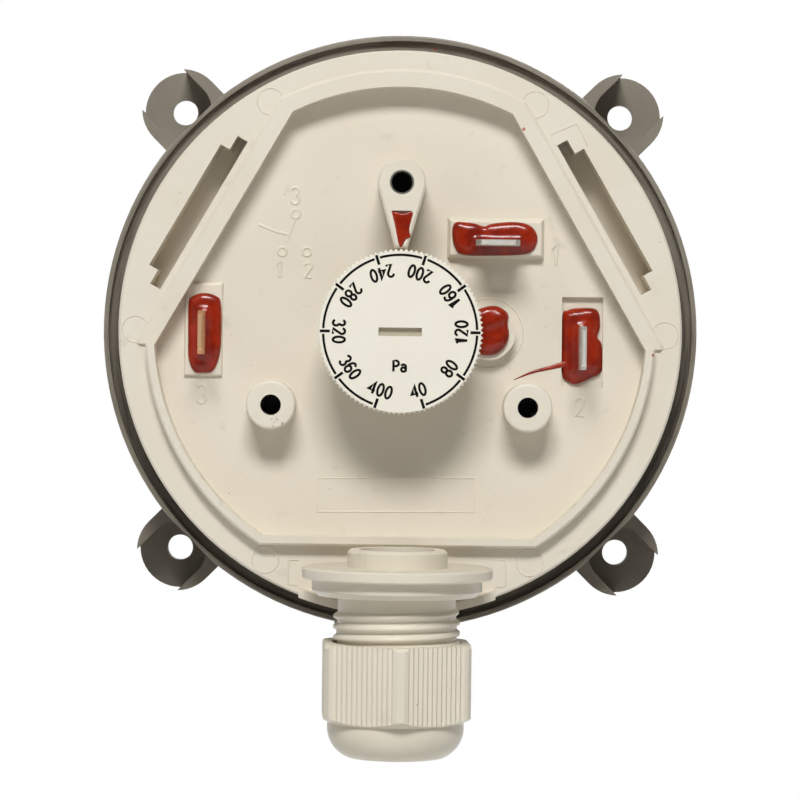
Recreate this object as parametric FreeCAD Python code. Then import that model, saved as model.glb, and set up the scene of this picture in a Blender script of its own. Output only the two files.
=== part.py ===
import FreeCAD, Part
import math
import os

from FreeCAD import Vector

# Differential pressure switch for air, seen with its cover taken off.
# Millimetres. X runs right, Z up, and the front faces -Y. The origin lies on the wall plane, in the
# middle of the four wall lugs. A "depth" is the distance in front of the wall, so depth = -Y.

# Grey base moulding, built outward from the pressure chamber
LAND_WIDTH = 9.7
BASE_WALL = 2.2
BASE_EDGE_ROUND = 0.3
BACK_THICKNESS = 2.5
BACK_RECESS = 0.8
BACK_RECESS_MARGIN = 2.5
REAR_CHAMBER_DEPTH = 5.5
CORE_INNER_WALL = 2.8
CORE_OUTER_WALL = 3.0
CORE_DEPTH = 5.3
CORE_RIB_COUNT = 12
CORE_RIB_THICKNESS = 1.4
CORE_RIB_BITE = 0.5
RIM_SETBACK = 3.0
RIM_LIP = 0.75
RIM_REBATE = 1.0

# Wall lugs
LUG_OUTSET = 2.9
LUG_RADIUS = 6.0
LUG_HOLE_RADIUS = 1.9
LUG_PLATE = 2.0
LUG_WALL_TOP = 9.0
LUG_CHANNEL_HALF = 4.3
LUG_FLAT_DEPTH = 0.3

# Pressure nozzles, moulded with the base
NOZZLE_SPACING = 12.0
NOZZLE_RADIUS = 3.0
NOZZLE_ROOT_RADIUS = 3.35
NOZZLE_ROOT_LENGTH = 0.3
NOZZLE_TAPER_LENGTH = 3.0
NOZZLE_TIP_RADIUS = 2.5
NOZZLE_LENGTH = 14.1
NOZZLE_BORE_RADIUS = 1.3
NOZZLE_AXIS_DEPTH = 4.6
PORT_INSET = 5.1
PORT_FRONT_LENGTH = 3.2
PORT_OVERRUN = 2.0

# Light switch body
HOUSING_GAP = 0.2
FRONT_CHAMBER_DEPTH = 6.2
FLOOR_THICKNESS = 2.0
LEDGE_HEIGHT = 3.0
LEDGE_WIDTH = 5.3
LEDGE_CHAMFER = 0.3
WELL_FLAT_DROP = 5.9
WELL_UPPER_FLATS = (30, 150)
WELL_LOWER_FLAT = 270
RIB_THICKNESS = 1.3
RIB_HEIGHT = 2.0
RIB_CHAMFER = 0.3
BAND_WIDTH = 2.6
BAND_HEIGHT = 0.5
BAND_CHAMFER = 0.45
SLOT_INSET = 3.4
SLOT_WIDTH = 3.2
SLOT_LENGTH = 20.4
SLOT_STEP_WIDTH = 1.7
SLOT_STEP_LENGTH = 2.3
SLOT_DEPTH = 7.0

# Screws that hold the two halves together from behind
SCREW_COUNT = 6
SCREW_INSET = 7.0
SCREW_RADIUS = 1.4
SCREW_HEAD_RADIUS = 2.6
SCREW_HEAD_HEIGHT = 1.8
SCREW_SINK = 2.6
SCREW_LENGTH = 11.0
SCREW_BOSS_WALL = 0.8
SCREW_RECESS_RADIUS = 1.3
SCREW_RECESS_WIDTH = 0.5
SCREW_RECESS_DEPTH = 1.08
SCREW_CLEARANCE = 0.1

# Bosses for the cover screws
BOSS_CIRCLE_RADIUS = 21.5
BOSS_RADIUS = 3.6
BOSS_HEIGHT = 6.0
BOSS_HOLE_RADIUS = 1.5
BOSS_HOLE_DEPTH = 10.0
BOSS_ROOT_DEPTH = 4.0
BOSS_EDGE_ROUND = 0.5
LOWER_BOSS_ANGLES = (210, 330)
POINTER_HEIGHT = 10.0
POINTER_HEAD_RADIUS = 3.5
POINTER_TIP_HALF = 0.9
POINTER_TIP_GAP = 0.2
POINTER_CHAMFER = 0.3
POINTER_POCKET_DEPTH = 0.6
POINTER_POCKET_TOP = 4.1
POINTER_POCKET_BORDER = 0.9
BUSH_WALL = 0.25
BUSH_LENGTH = 6.0

# Diaphragm and the plates that move with it
MEMBRANE_THICKNESS = 0.8
MEMBRANE_HOLE_RADIUS = 1.6
PLATE_RADIUS = 17.5
PLATE_MARGIN = 2.8
ROLL_WIDTH = 10.0
ROLL_DEPTH = 3.2
ROLL_CLEARANCE = 0.4
FRONT_PLATE_THICKNESS = 0.6
REAR_PLATE_THICKNESS = 0.8
STUD_RADIUS = 1.5
STUD_HEAD_RADIUS = 3.5
STUD_HEAD_HEIGHT = 1.2
STUD_NOSE_LENGTH = 2.0
STUD_CHAMFER = 0.45
STUD_CLEARANCE = 0.05
PUSHER_OFFSET = 9.0
PUSHER_RADIUS = 1.2
PUSHER_HEIGHT = 2.2
PUSHER_ROUND = 0.48

# Setpoint dial, its spindle and the range spring
BARREL_RADIUS = 5.6
BARREL_BORE_RADIUS = 4.1
BARREL_HEIGHT = 8.0
BARREL_TOP_WALL = 2.1
JOURNAL_RADIUS = 2.2
JOURNAL_CLEARANCE = 0.05
COLLAR_RADIUS = 3.0
COLLAR_THICKNESS = 0.7
COLLAR_GAP = 0.1
THREAD_RADIUS = 1.4
THREAD_CLEARANCE = 0.05
THREAD_LENGTH = 6.6
SPLINE_RADIUS = 1.5
SEAT_HEIGHT = 2.2
SEAT_BELOW_COLLAR = 1.5
SEAT_CLEARANCE = 0.2
SEAT_KEY_WIDTH = 1.2
SEAT_KEY_REACH = 0.5
SPRING_WIRE_RADIUS = 0.35
SPRING_RADIUS = 2.9
SPRING_TURNS = 5
SPRING_END_GAP = 0.05
SEAL_WIRE_RADIUS = 0.48
SEAL_GAP = 0.04
SEAL_POCKET_RADIUS = 3.25
SEAL_POCKET_DEPTH = 1.1
DIAL_RADIUS = 11.9
DIAL_FACE_THICKNESS = 1.2
DIAL_RIM_WALL = 1.2
DIAL_RIM_HEIGHT = 3.5
DIAL_HUB_RADIUS = 3.4
DIAL_HUB_GAP = 0.15
DIAL_HUB_LENGTH = 2.7
DIAL_EDGE_CHAMFER = 0.35
DIAL_TEETH = 100
DIAL_TOOTH_DEPTH = 0.4
COIN_SLOT_LENGTH = 6.2
COIN_SLOT_WIDTH = 1.2
COIN_SLOT_DEPTH = 0.7

# Spade terminals and what stands round them on the floor
TAB_WIDTH = 6.3
TAB_THICKNESS = 0.8
TAB_HEIGHT = 9.0
TAB_BEVEL = 0.8
TAB_TIP_CHAMFER = 0.24
TAB_HOLE_RADIUS = 0.85
TAB_HOLE_FROM_TIP = 3.2
TAB_CLEARANCE = 0.05
TERMINAL_1_X = 13.98
TERMINAL_1_Z = 13.07
TERMINAL_2_INSET = 9.24
TERMINAL_2_Z = -2.02
TERMINAL_3_INSET = 6.95
TERMINAL_3_Z = -0.38
BLOCK_1_SIZE = (13.3, 5.05)
BLOCK_1_OFFSET = (-0.16, 0.8)
BLOCK_1_HEIGHT = 1.5
POCKET_2_SIZE = (6.0, 13.3)
POCKET_2_OFFSET = (0.2, 0.82)
POCKET_2_DEPTH = 0.9
BLOCK_3_SIZE = (5.3, 13.4)
BLOCK_3_OFFSET = (0.0, 0.45)
BLOCK_3_HEIGHT = 0.6
BLOCK_EDGE_ROUND = 0.3
BLOCK_DRAFT = 0.3

# Snap switch under the floor
BLADE_THICKNESS = 0.3
BLADE_HALF_WIDTH = 6.5
BLADE_TIP_OVERHANG = 1.8
BLADE_WINDOW_HALF_LENGTH = 5.4
BLADE_WINDOW_HALF_WIDTH = 4.4
BLADE_BEHIND_FLOOR = 2.8
KNIFE_REACH = 6.45
KNIFE_NOTCH = 0.4
KNIFE_GAP = 0.1
KNIFE_HALF_WIDTH = 4.0
KNIFE_POST_BELOW = 1.0
CONTACT_INSET = 6.46
CONTACT_HEAD_RADIUS = 1.5
CONTACT_HEAD_HEIGHT = 0.5
CONTACT_SHANK_RADIUS = 0.7
CONTACT_TRAVEL = 0.55
CONTACT_REST_GAP = 0.05
FOOT_WIDTH = 3.2
FOOT_OVERLAP = 2.0
CALIBRATION_INSET = 7.1
CALIBRATION_RADIUS = 1.5
CALIBRATION_TIP_GAP = 0.85
CALIBRATION_CLEARANCE = 0.05
CALIBRATION_BOSS_RADIUS = 3.9
CALIBRATION_BOSS_HEIGHT = 2.0
CALIBRATION_CUP_RADIUS = 3.0
CALIBRATION_CUP_DEPTH = 0.9
CALIBRATION_SLOT_WIDTH = 0.6
CALIBRATION_SLOT_DEPTH = 0.8

# Red sealing lacquer
LACQUER_THICKNESS = 0.7
LACQUER_EDGE_ROUND = 0.45
LACQUER_1_SIZE = (12.5, 4.7)
LACQUER_1_OFFSET = (-0.38, 0.8)
LACQUER_2_SIZE = (5.6, 11.2)
LACQUER_2_OFFSET = (0.2, 0.37)
LACQUER_3_SIZE = (5.0, 11.6)
LACQUER_3_OFFSET = (0.07, -0.16)
LACQUER_CORNER = 1.9
LACQUER_CROWN_ROUND = 0.405
POINTER_LACQUER_BELOW = 0.1

# Cable gland, lying in the cradle at the bottom of the switch body
GLAND_ABOVE_CRADLE = 7.7
GLAND_INSET = 1.1
GLAND_COLLAR_RADIUS = 7.1
GLAND_COLLAR_LENGTH = 2.5
GLAND_FLANGE_RADIUS = 13.55
GLAND_FLANGE_LENGTH = 1.6
GLAND_FLANGE_CHAMFER = 0.25
GLAND_DISC_RADIUS = 12.1
GLAND_DISC_LENGTH = 2.4
GLAND_NECK_RADIUS = 8.4
GLAND_NECK_LENGTH = 13.6
GLAND_BORE_RADIUS = 5.4
GLAND_MOUTH_RADIUS = 6.9
GLAND_MOUTH_LENGTH = 7.5
GLAND_EDGE_ROUND = 0.4
GLAND_THREAD_HEIGHT = 0.6
GLAND_SEAT_CLEARANCE = 0.15
CRADLE_HALF_WIDTH = 14.2
CRADLE_WALL = 1.2
CRADLE_HEIGHT = 4.6
NUT_FROM_NECK_START = 6.6
NUT_ACROSS_FLATS = 20.6
NUT_HEX_LENGTH = 11.3
NUT_DOME_LENGTH = 4.9
NUT_DOME_RADIUS = 9.65
NUT_DOME_LEAN = 40
NUT_CORNER_RADIUS = 11.6
NUT_MOUTH_RADIUS = 5.0
NUT_WALL_AT_MOUTH = 2.0
NUT_THREAD_CLEARANCE = 0.2
NUT_CONE_RISE = 1.0
NUT_TURN = 3.4
NUT_CHAMFER = 0.5
NUT_RIBS_PER_FLAT = 12
NUT_RIB_DEPTH = 0.25
NUT_SMOOTH_BAND = 1.2
CLAW_WALL = 1.0
CLAW_LENGTH = 9.0
CLAW_COUNT = 8
CLAW_SLIT = 0.6
CLAW_RING_LENGTH = 2.5
CLAW_START = 2.6
CLAW_CLEARANCE = 0.3
GROMMET_HOLE_RADIUS = 3.5
GROMMET_GAP = 0.05

# Depths that follow from the sizes above
LAND_DEPTH = BACK_THICKNESS + REAR_CHAMBER_DEPTH
BODY_REAR = LAND_DEPTH + MEMBRANE_THICKNESS
FLOOR_REAR = BODY_REAR + FRONT_CHAMBER_DEPTH
FLOOR = FLOOR_REAR + FLOOR_THICKNESS
LEDGE = FLOOR + LEDGE_HEIGHT
RIM_FRONT = LEDGE - RIM_SETBACK
RIB_TOP = LEDGE + RIB_HEIGHT
BARREL_TOP = FLOOR + BARREL_HEIGHT
BARREL_ROOF = BARREL_TOP - BARREL_TOP_WALL
COLLAR_FRONT = BARREL_ROOF - COLLAR_GAP
COLLAR_REAR = COLLAR_FRONT - COLLAR_THICKNESS
SEAT_FRONT = COLLAR_REAR - SEAT_BELOW_COLLAR
SEAT_REAR = SEAT_FRONT - SEAT_HEIGHT
HUB_REAR = BARREL_TOP + DIAL_HUB_GAP
FACE_REAR = HUB_REAR + DIAL_HUB_LENGTH
FACE_FRONT = FACE_REAR + DIAL_FACE_THICKNESS
POINTER_TOP = FLOOR + POINTER_HEIGHT
BOSS_TOP = FLOOR + BOSS_HEIGHT
BLADE_DEPTH = FLOOR_REAR - BLADE_BEHIND_FLOOR
BLADE_REAR = BLADE_DEPTH - BLADE_THICKNESS / 2
BLADE_FRONT = BLADE_DEPTH + BLADE_THICKNESS / 2
REAR_CONTACT_TOP = BLADE_REAR - CONTACT_HEAD_HEIGHT - CONTACT_REST_GAP
FRONT_CONTACT_REAR = BLADE_FRONT + CONTACT_HEAD_HEIGHT + CONTACT_TRAVEL + CONTACT_REST_GAP
PLATE_FRONT = BODY_REAR + FRONT_PLATE_THICKNESS
CRADLE_TOP = LEDGE + CRADLE_HEIGHT
GLAND_AXIS_DEPTH = CRADLE_TOP + GLAND_ABOVE_CRADLE

# Radii and places that follow from the sizes above
ROLL_INNER_RADIUS = PLATE_RADIUS + PLATE_MARGIN
ROLL_OUTER_RADIUS = ROLL_INNER_RADIUS + ROLL_WIDTH
CHAMBER_RADIUS = ROLL_OUTER_RADIUS + MEMBRANE_THICKNESS + ROLL_CLEARANCE
BACK_RECESS_RADIUS = CHAMBER_RADIUS - BACK_RECESS_MARGIN
CORE_INNER_RADIUS = CHAMBER_RADIUS + CORE_INNER_WALL
PORT_RADIUS_FROM_AXIS = CHAMBER_RADIUS + PORT_INSET
SCREW_CIRCLE_RADIUS = CHAMBER_RADIUS + SCREW_INSET
BASE_INNER_RADIUS = CHAMBER_RADIUS + LAND_WIDTH
BASE_RADIUS = BASE_INNER_RADIUS + BASE_WALL
CORE_OUTER_RADIUS = BASE_RADIUS - CORE_OUTER_WALL
BODY_RADIUS = BASE_INNER_RADIUS - HOUSING_GAP
WELL_RADIUS = BODY_RADIUS - LEDGE_WIDTH
WELL_FLAT_DISTANCE = WELL_RADIUS - WELL_FLAT_DROP
SLOT_FROM_AXIS = WELL_FLAT_DISTANCE + SLOT_INSET
NOZZLE_TIP = -BASE_RADIUS - NOZZLE_LENGTH
NOZZLE_SHOULDER = -BASE_RADIUS - NOZZLE_ROOT_LENGTH
PORT_INNER_END = PORT_OVERRUN - CHAMBER_RADIUS
LUG_ANGLES = (45, 135, 225, 315)
LUG_FROM_AXIS = BASE_RADIUS + LUG_OUTSET
SCREW_ANGLES = [360 / SCREW_COUNT * k for k in range(SCREW_COUNT)]
SCREW_HOLE_RADIUS = SCREW_RADIUS + SCREW_CLEARANCE
TERMINAL_1 = (TERMINAL_1_X, TERMINAL_1_Z)
TERMINAL_2 = (WELL_RADIUS - TERMINAL_2_INSET, TERMINAL_2_Z)
TERMINAL_3 = (TERMINAL_3_INSET - WELL_RADIUS, TERMINAL_3_Z)
BLADE_PIVOT_X = TERMINAL_3[0] + KNIFE_REACH
CONTACT_X = TERMINAL_2[0] - CONTACT_INSET
CALIBRATION_X = CONTACT_X - CALIBRATION_INSET
GLAND_TOP = -WELL_FLAT_DISTANCE - GLAND_INSET
FLANGE_START = GLAND_TOP - GLAND_COLLAR_LENGTH
DISC_START = FLANGE_START - GLAND_FLANGE_LENGTH
NECK_START = DISC_START - GLAND_DISC_LENGTH
NECK_END = NECK_START - GLAND_NECK_LENGTH
NUT_START = NECK_START - NUT_FROM_NECK_START
NUT_HEX_END = NUT_START - NUT_HEX_LENGTH
NUT_END = NUT_HEX_END - NUT_DOME_LENGTH
CLAW_RADIUS = GLAND_MOUTH_RADIUS - CLAW_CLEARANCE
CLAW_TOP = NECK_END + GLAND_MOUTH_LENGTH - CLAW_START


def at(x, depth, z):
    """The point at x and z, a given depth in front of the wall."""
    return Vector(x, -depth, z)


def polar(radius, angle):
    """X and z of a point at a radius and an angle in degrees, as seen from the front."""
    return radius * math.cos(math.radians(angle)), radius * math.sin(math.radians(angle))


def rod(radius, depth_a, depth_b, x=0.0, z=0.0):
    """A cylinder that runs forward from the wall side."""
    return Part.makeCylinder(radius, depth_b - depth_a, at(x, depth_a, z), Vector(0, -1, 0))


def upright_rod(radius, z_low, z_high, x=0.0, depth=0.0):
    """A cylinder that stands along Z."""
    return Part.makeCylinder(radius, z_high - z_low, at(x, depth, z_low), Vector(0, 0, 1))


def block(size, centre, depth_a, depth_b):
    """A box given by its width and height, the x and z of its middle, and two depths."""
    width, height = size
    corner = at(centre[0] - width / 2, depth_b, centre[1] - height / 2)
    return Part.makeBox(width, depth_b - depth_a, height, corner)


def drafted_block(size, centre, depth, height):
    """A low block whose sides lean outward towards its foot."""
    outlines = []
    for rise in (0, height):
        half_x = size[0] / 2 + BLOCK_DRAFT * (height - rise)
        half_z = size[1] / 2 + BLOCK_DRAFT * (height - rise)
        corners = [at(centre[0] + side_x * half_x, depth + rise, centre[1] + side_z * half_z)
                   for side_x, side_z in ((-1, -1), (1, -1), (1, 1), (-1, 1))]
        outlines.append(Part.makePolygon(corners + corners[:1]))
    return Part.makeLoft(outlines, True, True)


def shifted(place, offset):
    """A place moved by an offset, both as x and z."""
    return place[0] + offset[0], place[1] + offset[1]


def turned(shape, angle):
    """A copy turned about the switch's own axis, anticlockwise as seen from the front."""
    copy = shape.copy()
    copy.rotate(Vector(0, 0, 0), Vector(0, -1, 0), angle)
    return copy


def spun(points):
    """A solid of revolution about the switch's axis, from radius and depth pairs."""
    corners = [at(radius, depth, 0) for radius, depth in points]
    face = Part.Face(Part.makePolygon(corners + corners[:1]))
    return face.revolve(Vector(0, 0, 0), Vector(0, 1, 0), 360)


def gland_spun(points):
    """A solid of revolution about the gland's axis, from radius and z pairs."""
    corners = [at(radius, GLAND_AXIS_DEPTH, z) for radius, z in points]
    face = Part.Face(Part.makePolygon(corners + corners[:1]))
    return face.revolve(at(0, GLAND_AXIS_DEPTH, 0), Vector(0, 0, 1), 360)


def raised(wire, depth):
    """A solid raised forward from a closed flat outline."""
    return Part.Face(wire).extrude(Vector(0, -depth, 0))


def ring_edges(shape, radius, depth):
    """The full circles of one radius that lie at one depth."""
    found = []
    for edge in shape.Edges:
        if not isinstance(edge.Curve, Part.Circle):
            continue
        if abs(edge.Curve.Radius - radius) < 1e-4 and abs(edge.Curve.Center.y + depth) < 1e-4:
            found.append(edge)
    return found


def front_edges(shape, depth):
    """Every edge that lies wholly at one depth."""
    return [edge for edge in shape.Edges
            if abs(edge.BoundBox.YMin + depth) < 1e-4 and abs(edge.BoundBox.YMax + depth) < 1e-4]


def export(node, shape):
    """Writes one piece to its own file."""
    shape.exportStep(os.path.join("parts", node + ".step"))


def well_prism(radius, flat_distance, depth_a, depth_b):
    """The outline of the wiring well: a circle with three flats."""
    prism = rod(radius, depth_a, depth_b)
    reach = 2 * radius
    for angle in WELL_UPPER_FLATS + (WELL_LOWER_FLAT,):
        waste = block((radius, reach), (flat_distance + radius / 2, 0), depth_a, depth_b)
        prism = prism.cut(turned(waste, angle))
    return prism


def lug_solid(angle):
    """A lug: a round plate with two horned walls beside a channel that opens outward."""
    arm = LUG_FROM_AXIS - CHAMBER_RADIUS
    root = block((arm, 2 * LUG_RADIUS), (LUG_FROM_AXIS - arm / 2, 0), 0, LUG_WALL_TOP)
    lug = rod(LUG_RADIUS, 0, LUG_WALL_TOP, LUG_FROM_AXIS).fuse(root)
    lug = lug.cut(rod(BASE_INNER_RADIUS, 0, LUG_WALL_TOP))
    channel = rod(LUG_CHANNEL_HALF, LUG_PLATE, LUG_WALL_TOP, LUG_FROM_AXIS)
    opening = block((2 * LUG_RADIUS, 2 * LUG_CHANNEL_HALF), (LUG_FROM_AXIS + LUG_RADIUS, 0),
                    LUG_PLATE, LUG_WALL_TOP)
    lug = lug.cut(channel.fuse(opening))
    return turned(lug, angle)


def lug_flat(angle):
    """What is cut from the round wall above a lug, so that the wall screw's driver clears it."""
    waste = block((LUG_FLAT_DEPTH, 2 * LUG_RADIUS), (BASE_RADIUS - LUG_FLAT_DEPTH / 2, 0), 0, RIM_FRONT)
    return turned(waste, angle)


def nozzle_solid(side):
    """A pressure nozzle with a tapered tip, its root collar and the thickened wall behind it."""
    x = side * NOZZLE_SPACING / 2
    profile = [(0, -CHAMBER_RADIUS), (NOZZLE_ROOT_RADIUS, -CHAMBER_RADIUS),
               (NOZZLE_ROOT_RADIUS, NOZZLE_SHOULDER), (NOZZLE_RADIUS, NOZZLE_SHOULDER),
               (NOZZLE_RADIUS, NOZZLE_TIP + NOZZLE_TAPER_LENGTH), (NOZZLE_TIP_RADIUS, NOZZLE_TIP),
               (0, NOZZLE_TIP)]
    corners = [at(x + radius, NOZZLE_AXIS_DEPTH, z) for radius, z in profile]
    face = Part.Face(Part.makePolygon(corners + corners[:1]))
    return face.revolve(at(x, NOZZLE_AXIS_DEPTH, 0), Vector(0, 0, 1), 360)


def make_base_shell():
    """The grey base: back wall, rear pressure chamber, clamping land, lugs and nozzles."""
    lip_radius = BASE_RADIUS - RIM_LIP
    rebate = RIM_FRONT - RIM_REBATE
    shell = spun([(0, 0), (BASE_RADIUS, 0), (BASE_RADIUS, RIM_FRONT), (lip_radius, RIM_FRONT),
                  (lip_radius, rebate), (BASE_INNER_RADIUS, rebate),
                  (BASE_INNER_RADIUS, LAND_DEPTH), (CHAMBER_RADIUS, LAND_DEPTH),
                  (CHAMBER_RADIUS, BACK_THICKNESS), (0, BACK_THICKNESS)])
    shell = shell.makeFillet(BASE_EDGE_ROUND, ring_edges(shell, BASE_RADIUS, RIM_FRONT))
    shell = shell.cut([lug_flat(angle) for angle in LUG_ANGLES])
    shell = shell.fuse([lug_solid(angle) for angle in LUG_ANGLES])
    core = rod(CORE_OUTER_RADIUS, 0, CORE_DEPTH).cut(rod(CORE_INNER_RADIUS, 0, CORE_DEPTH))
    rib = block((CORE_OUTER_RADIUS - CORE_INNER_RADIUS + 2 * CORE_RIB_BITE, CORE_RIB_THICKNESS),
                ((CORE_OUTER_RADIUS + CORE_INNER_RADIUS) / 2, 0), BACK_RECESS, CORE_DEPTH)
    step = 360 / CORE_RIB_COUNT
    ribs = [turned(rib, step * (k + 0.5)) for k in range(CORE_RIB_COUNT)]
    bosses = []
    for angle in SCREW_ANGLES:
        x, z = polar(SCREW_CIRCLE_RADIUS, angle)
        boss = rod(SCREW_HEAD_RADIUS + SCREW_BOSS_WALL, 0, LAND_DEPTH, x, z)
        bosses.append(boss.common(rod(BASE_RADIUS, 0, LAND_DEPTH)))
    shell = shell.cut(core).fuse(ribs + bosses + [nozzle_solid(side) for side in (-1, 1)])
    drills = [rod(BACK_RECESS_RADIUS, 0, BACK_RECESS)]
    for angle in SCREW_ANGLES:
        x, z = polar(SCREW_CIRCLE_RADIUS, angle)
        head_seat = SCREW_SINK + SCREW_HEAD_HEIGHT
        drills.append(rod(SCREW_HEAD_RADIUS + SCREW_CLEARANCE, 0, head_seat, x, z))
        drills.append(rod(SCREW_HOLE_RADIUS, head_seat, LAND_DEPTH, x, z))
    for angle in LUG_ANGLES:
        x, z = polar(LUG_FROM_AXIS, angle)
        drills.append(rod(LUG_HOLE_RADIUS, 0, LUG_PLATE, x, z))
    half = NOZZLE_SPACING / 2
    bore = NOZZLE_BORE_RADIUS
    drills.append(upright_rod(bore, NOZZLE_TIP, PORT_INNER_END, -half, NOZZLE_AXIS_DEPTH))
    drills.append(upright_rod(bore, NOZZLE_TIP, -PORT_RADIUS_FROM_AXIS, half, NOZZLE_AXIS_DEPTH))
    drills.append(rod(bore, NOZZLE_AXIS_DEPTH, LAND_DEPTH, half, -PORT_RADIUS_FROM_AXIS))
    return shell.cut(drills).removeSplitter()


def pointer_outline(radius, tip_half, tip_z, depth):
    """A teardrop: a round head about the upper boss, drawn down to a blunt tip."""
    centre = BOSS_CIRCLE_RADIUS
    drop = centre - tip_z
    distance = math.hypot(tip_half, drop)
    lean = math.degrees(math.asin(radius / distance)) - math.degrees(math.atan2(tip_half, drop))
    x, rise = polar(radius, -lean)
    right, left = at(x, depth, centre + rise), at(-x, depth, centre + rise)
    head = Part.Arc(right, at(0, depth, centre + radius), left).toShape()
    foot = Part.makePolygon([left, at(-tip_half, depth, tip_z), at(tip_half, depth, tip_z), right])
    return Part.Wire([head] + foot.Edges)


def pointer_tip():
    """Height of the pointer's tip, just clear of the dial."""
    return DIAL_RADIUS + POINTER_TIP_GAP


def pocket_outline(depth):
    """The triangular pocket in the pointer, which follows the pointer's own taper."""
    top = BOSS_CIRCLE_RADIUS - POINTER_POCKET_TOP
    tip = pointer_tip()
    share = (top - tip) / (BOSS_CIRCLE_RADIUS - tip)
    half = POINTER_TIP_HALF + share * (POINTER_HEAD_RADIUS - POINTER_TIP_HALF) - POINTER_POCKET_BORDER
    corners = [at(-half, depth, top), at(half, depth, top), at(0, depth, tip + POINTER_POCKET_BORDER / 2)]
    return Part.makePolygon(corners + corners[:1])


def tab_slot(centre, flat_along_x):
    """The slit in the floor that a spade terminal passes through."""
    long_side, short_side = TAB_WIDTH + 2 * TAB_CLEARANCE, TAB_THICKNESS + 2 * TAB_CLEARANCE
    size = (long_side, short_side) if flat_along_x else (short_side, long_side)
    return block(size, centre, FLOOR_REAR, LEDGE)


def stepped_slot(angle):
    """The long pocket with a step at each end, cut beside one of the upper flats."""
    middle = SLOT_FROM_AXIS + SLOT_WIDTH / 2
    main = block((SLOT_WIDTH, SLOT_LENGTH), (middle, 0), LEDGE - SLOT_DEPTH, RIB_TOP)
    step = block((SLOT_STEP_WIDTH, SLOT_LENGTH + 2 * SLOT_STEP_LENGTH),
                 (SLOT_FROM_AXIS + SLOT_STEP_WIDTH / 2, 0), LEDGE - SLOT_DEPTH, RIB_TOP)
    return turned(main.fuse(step), angle)


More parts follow.
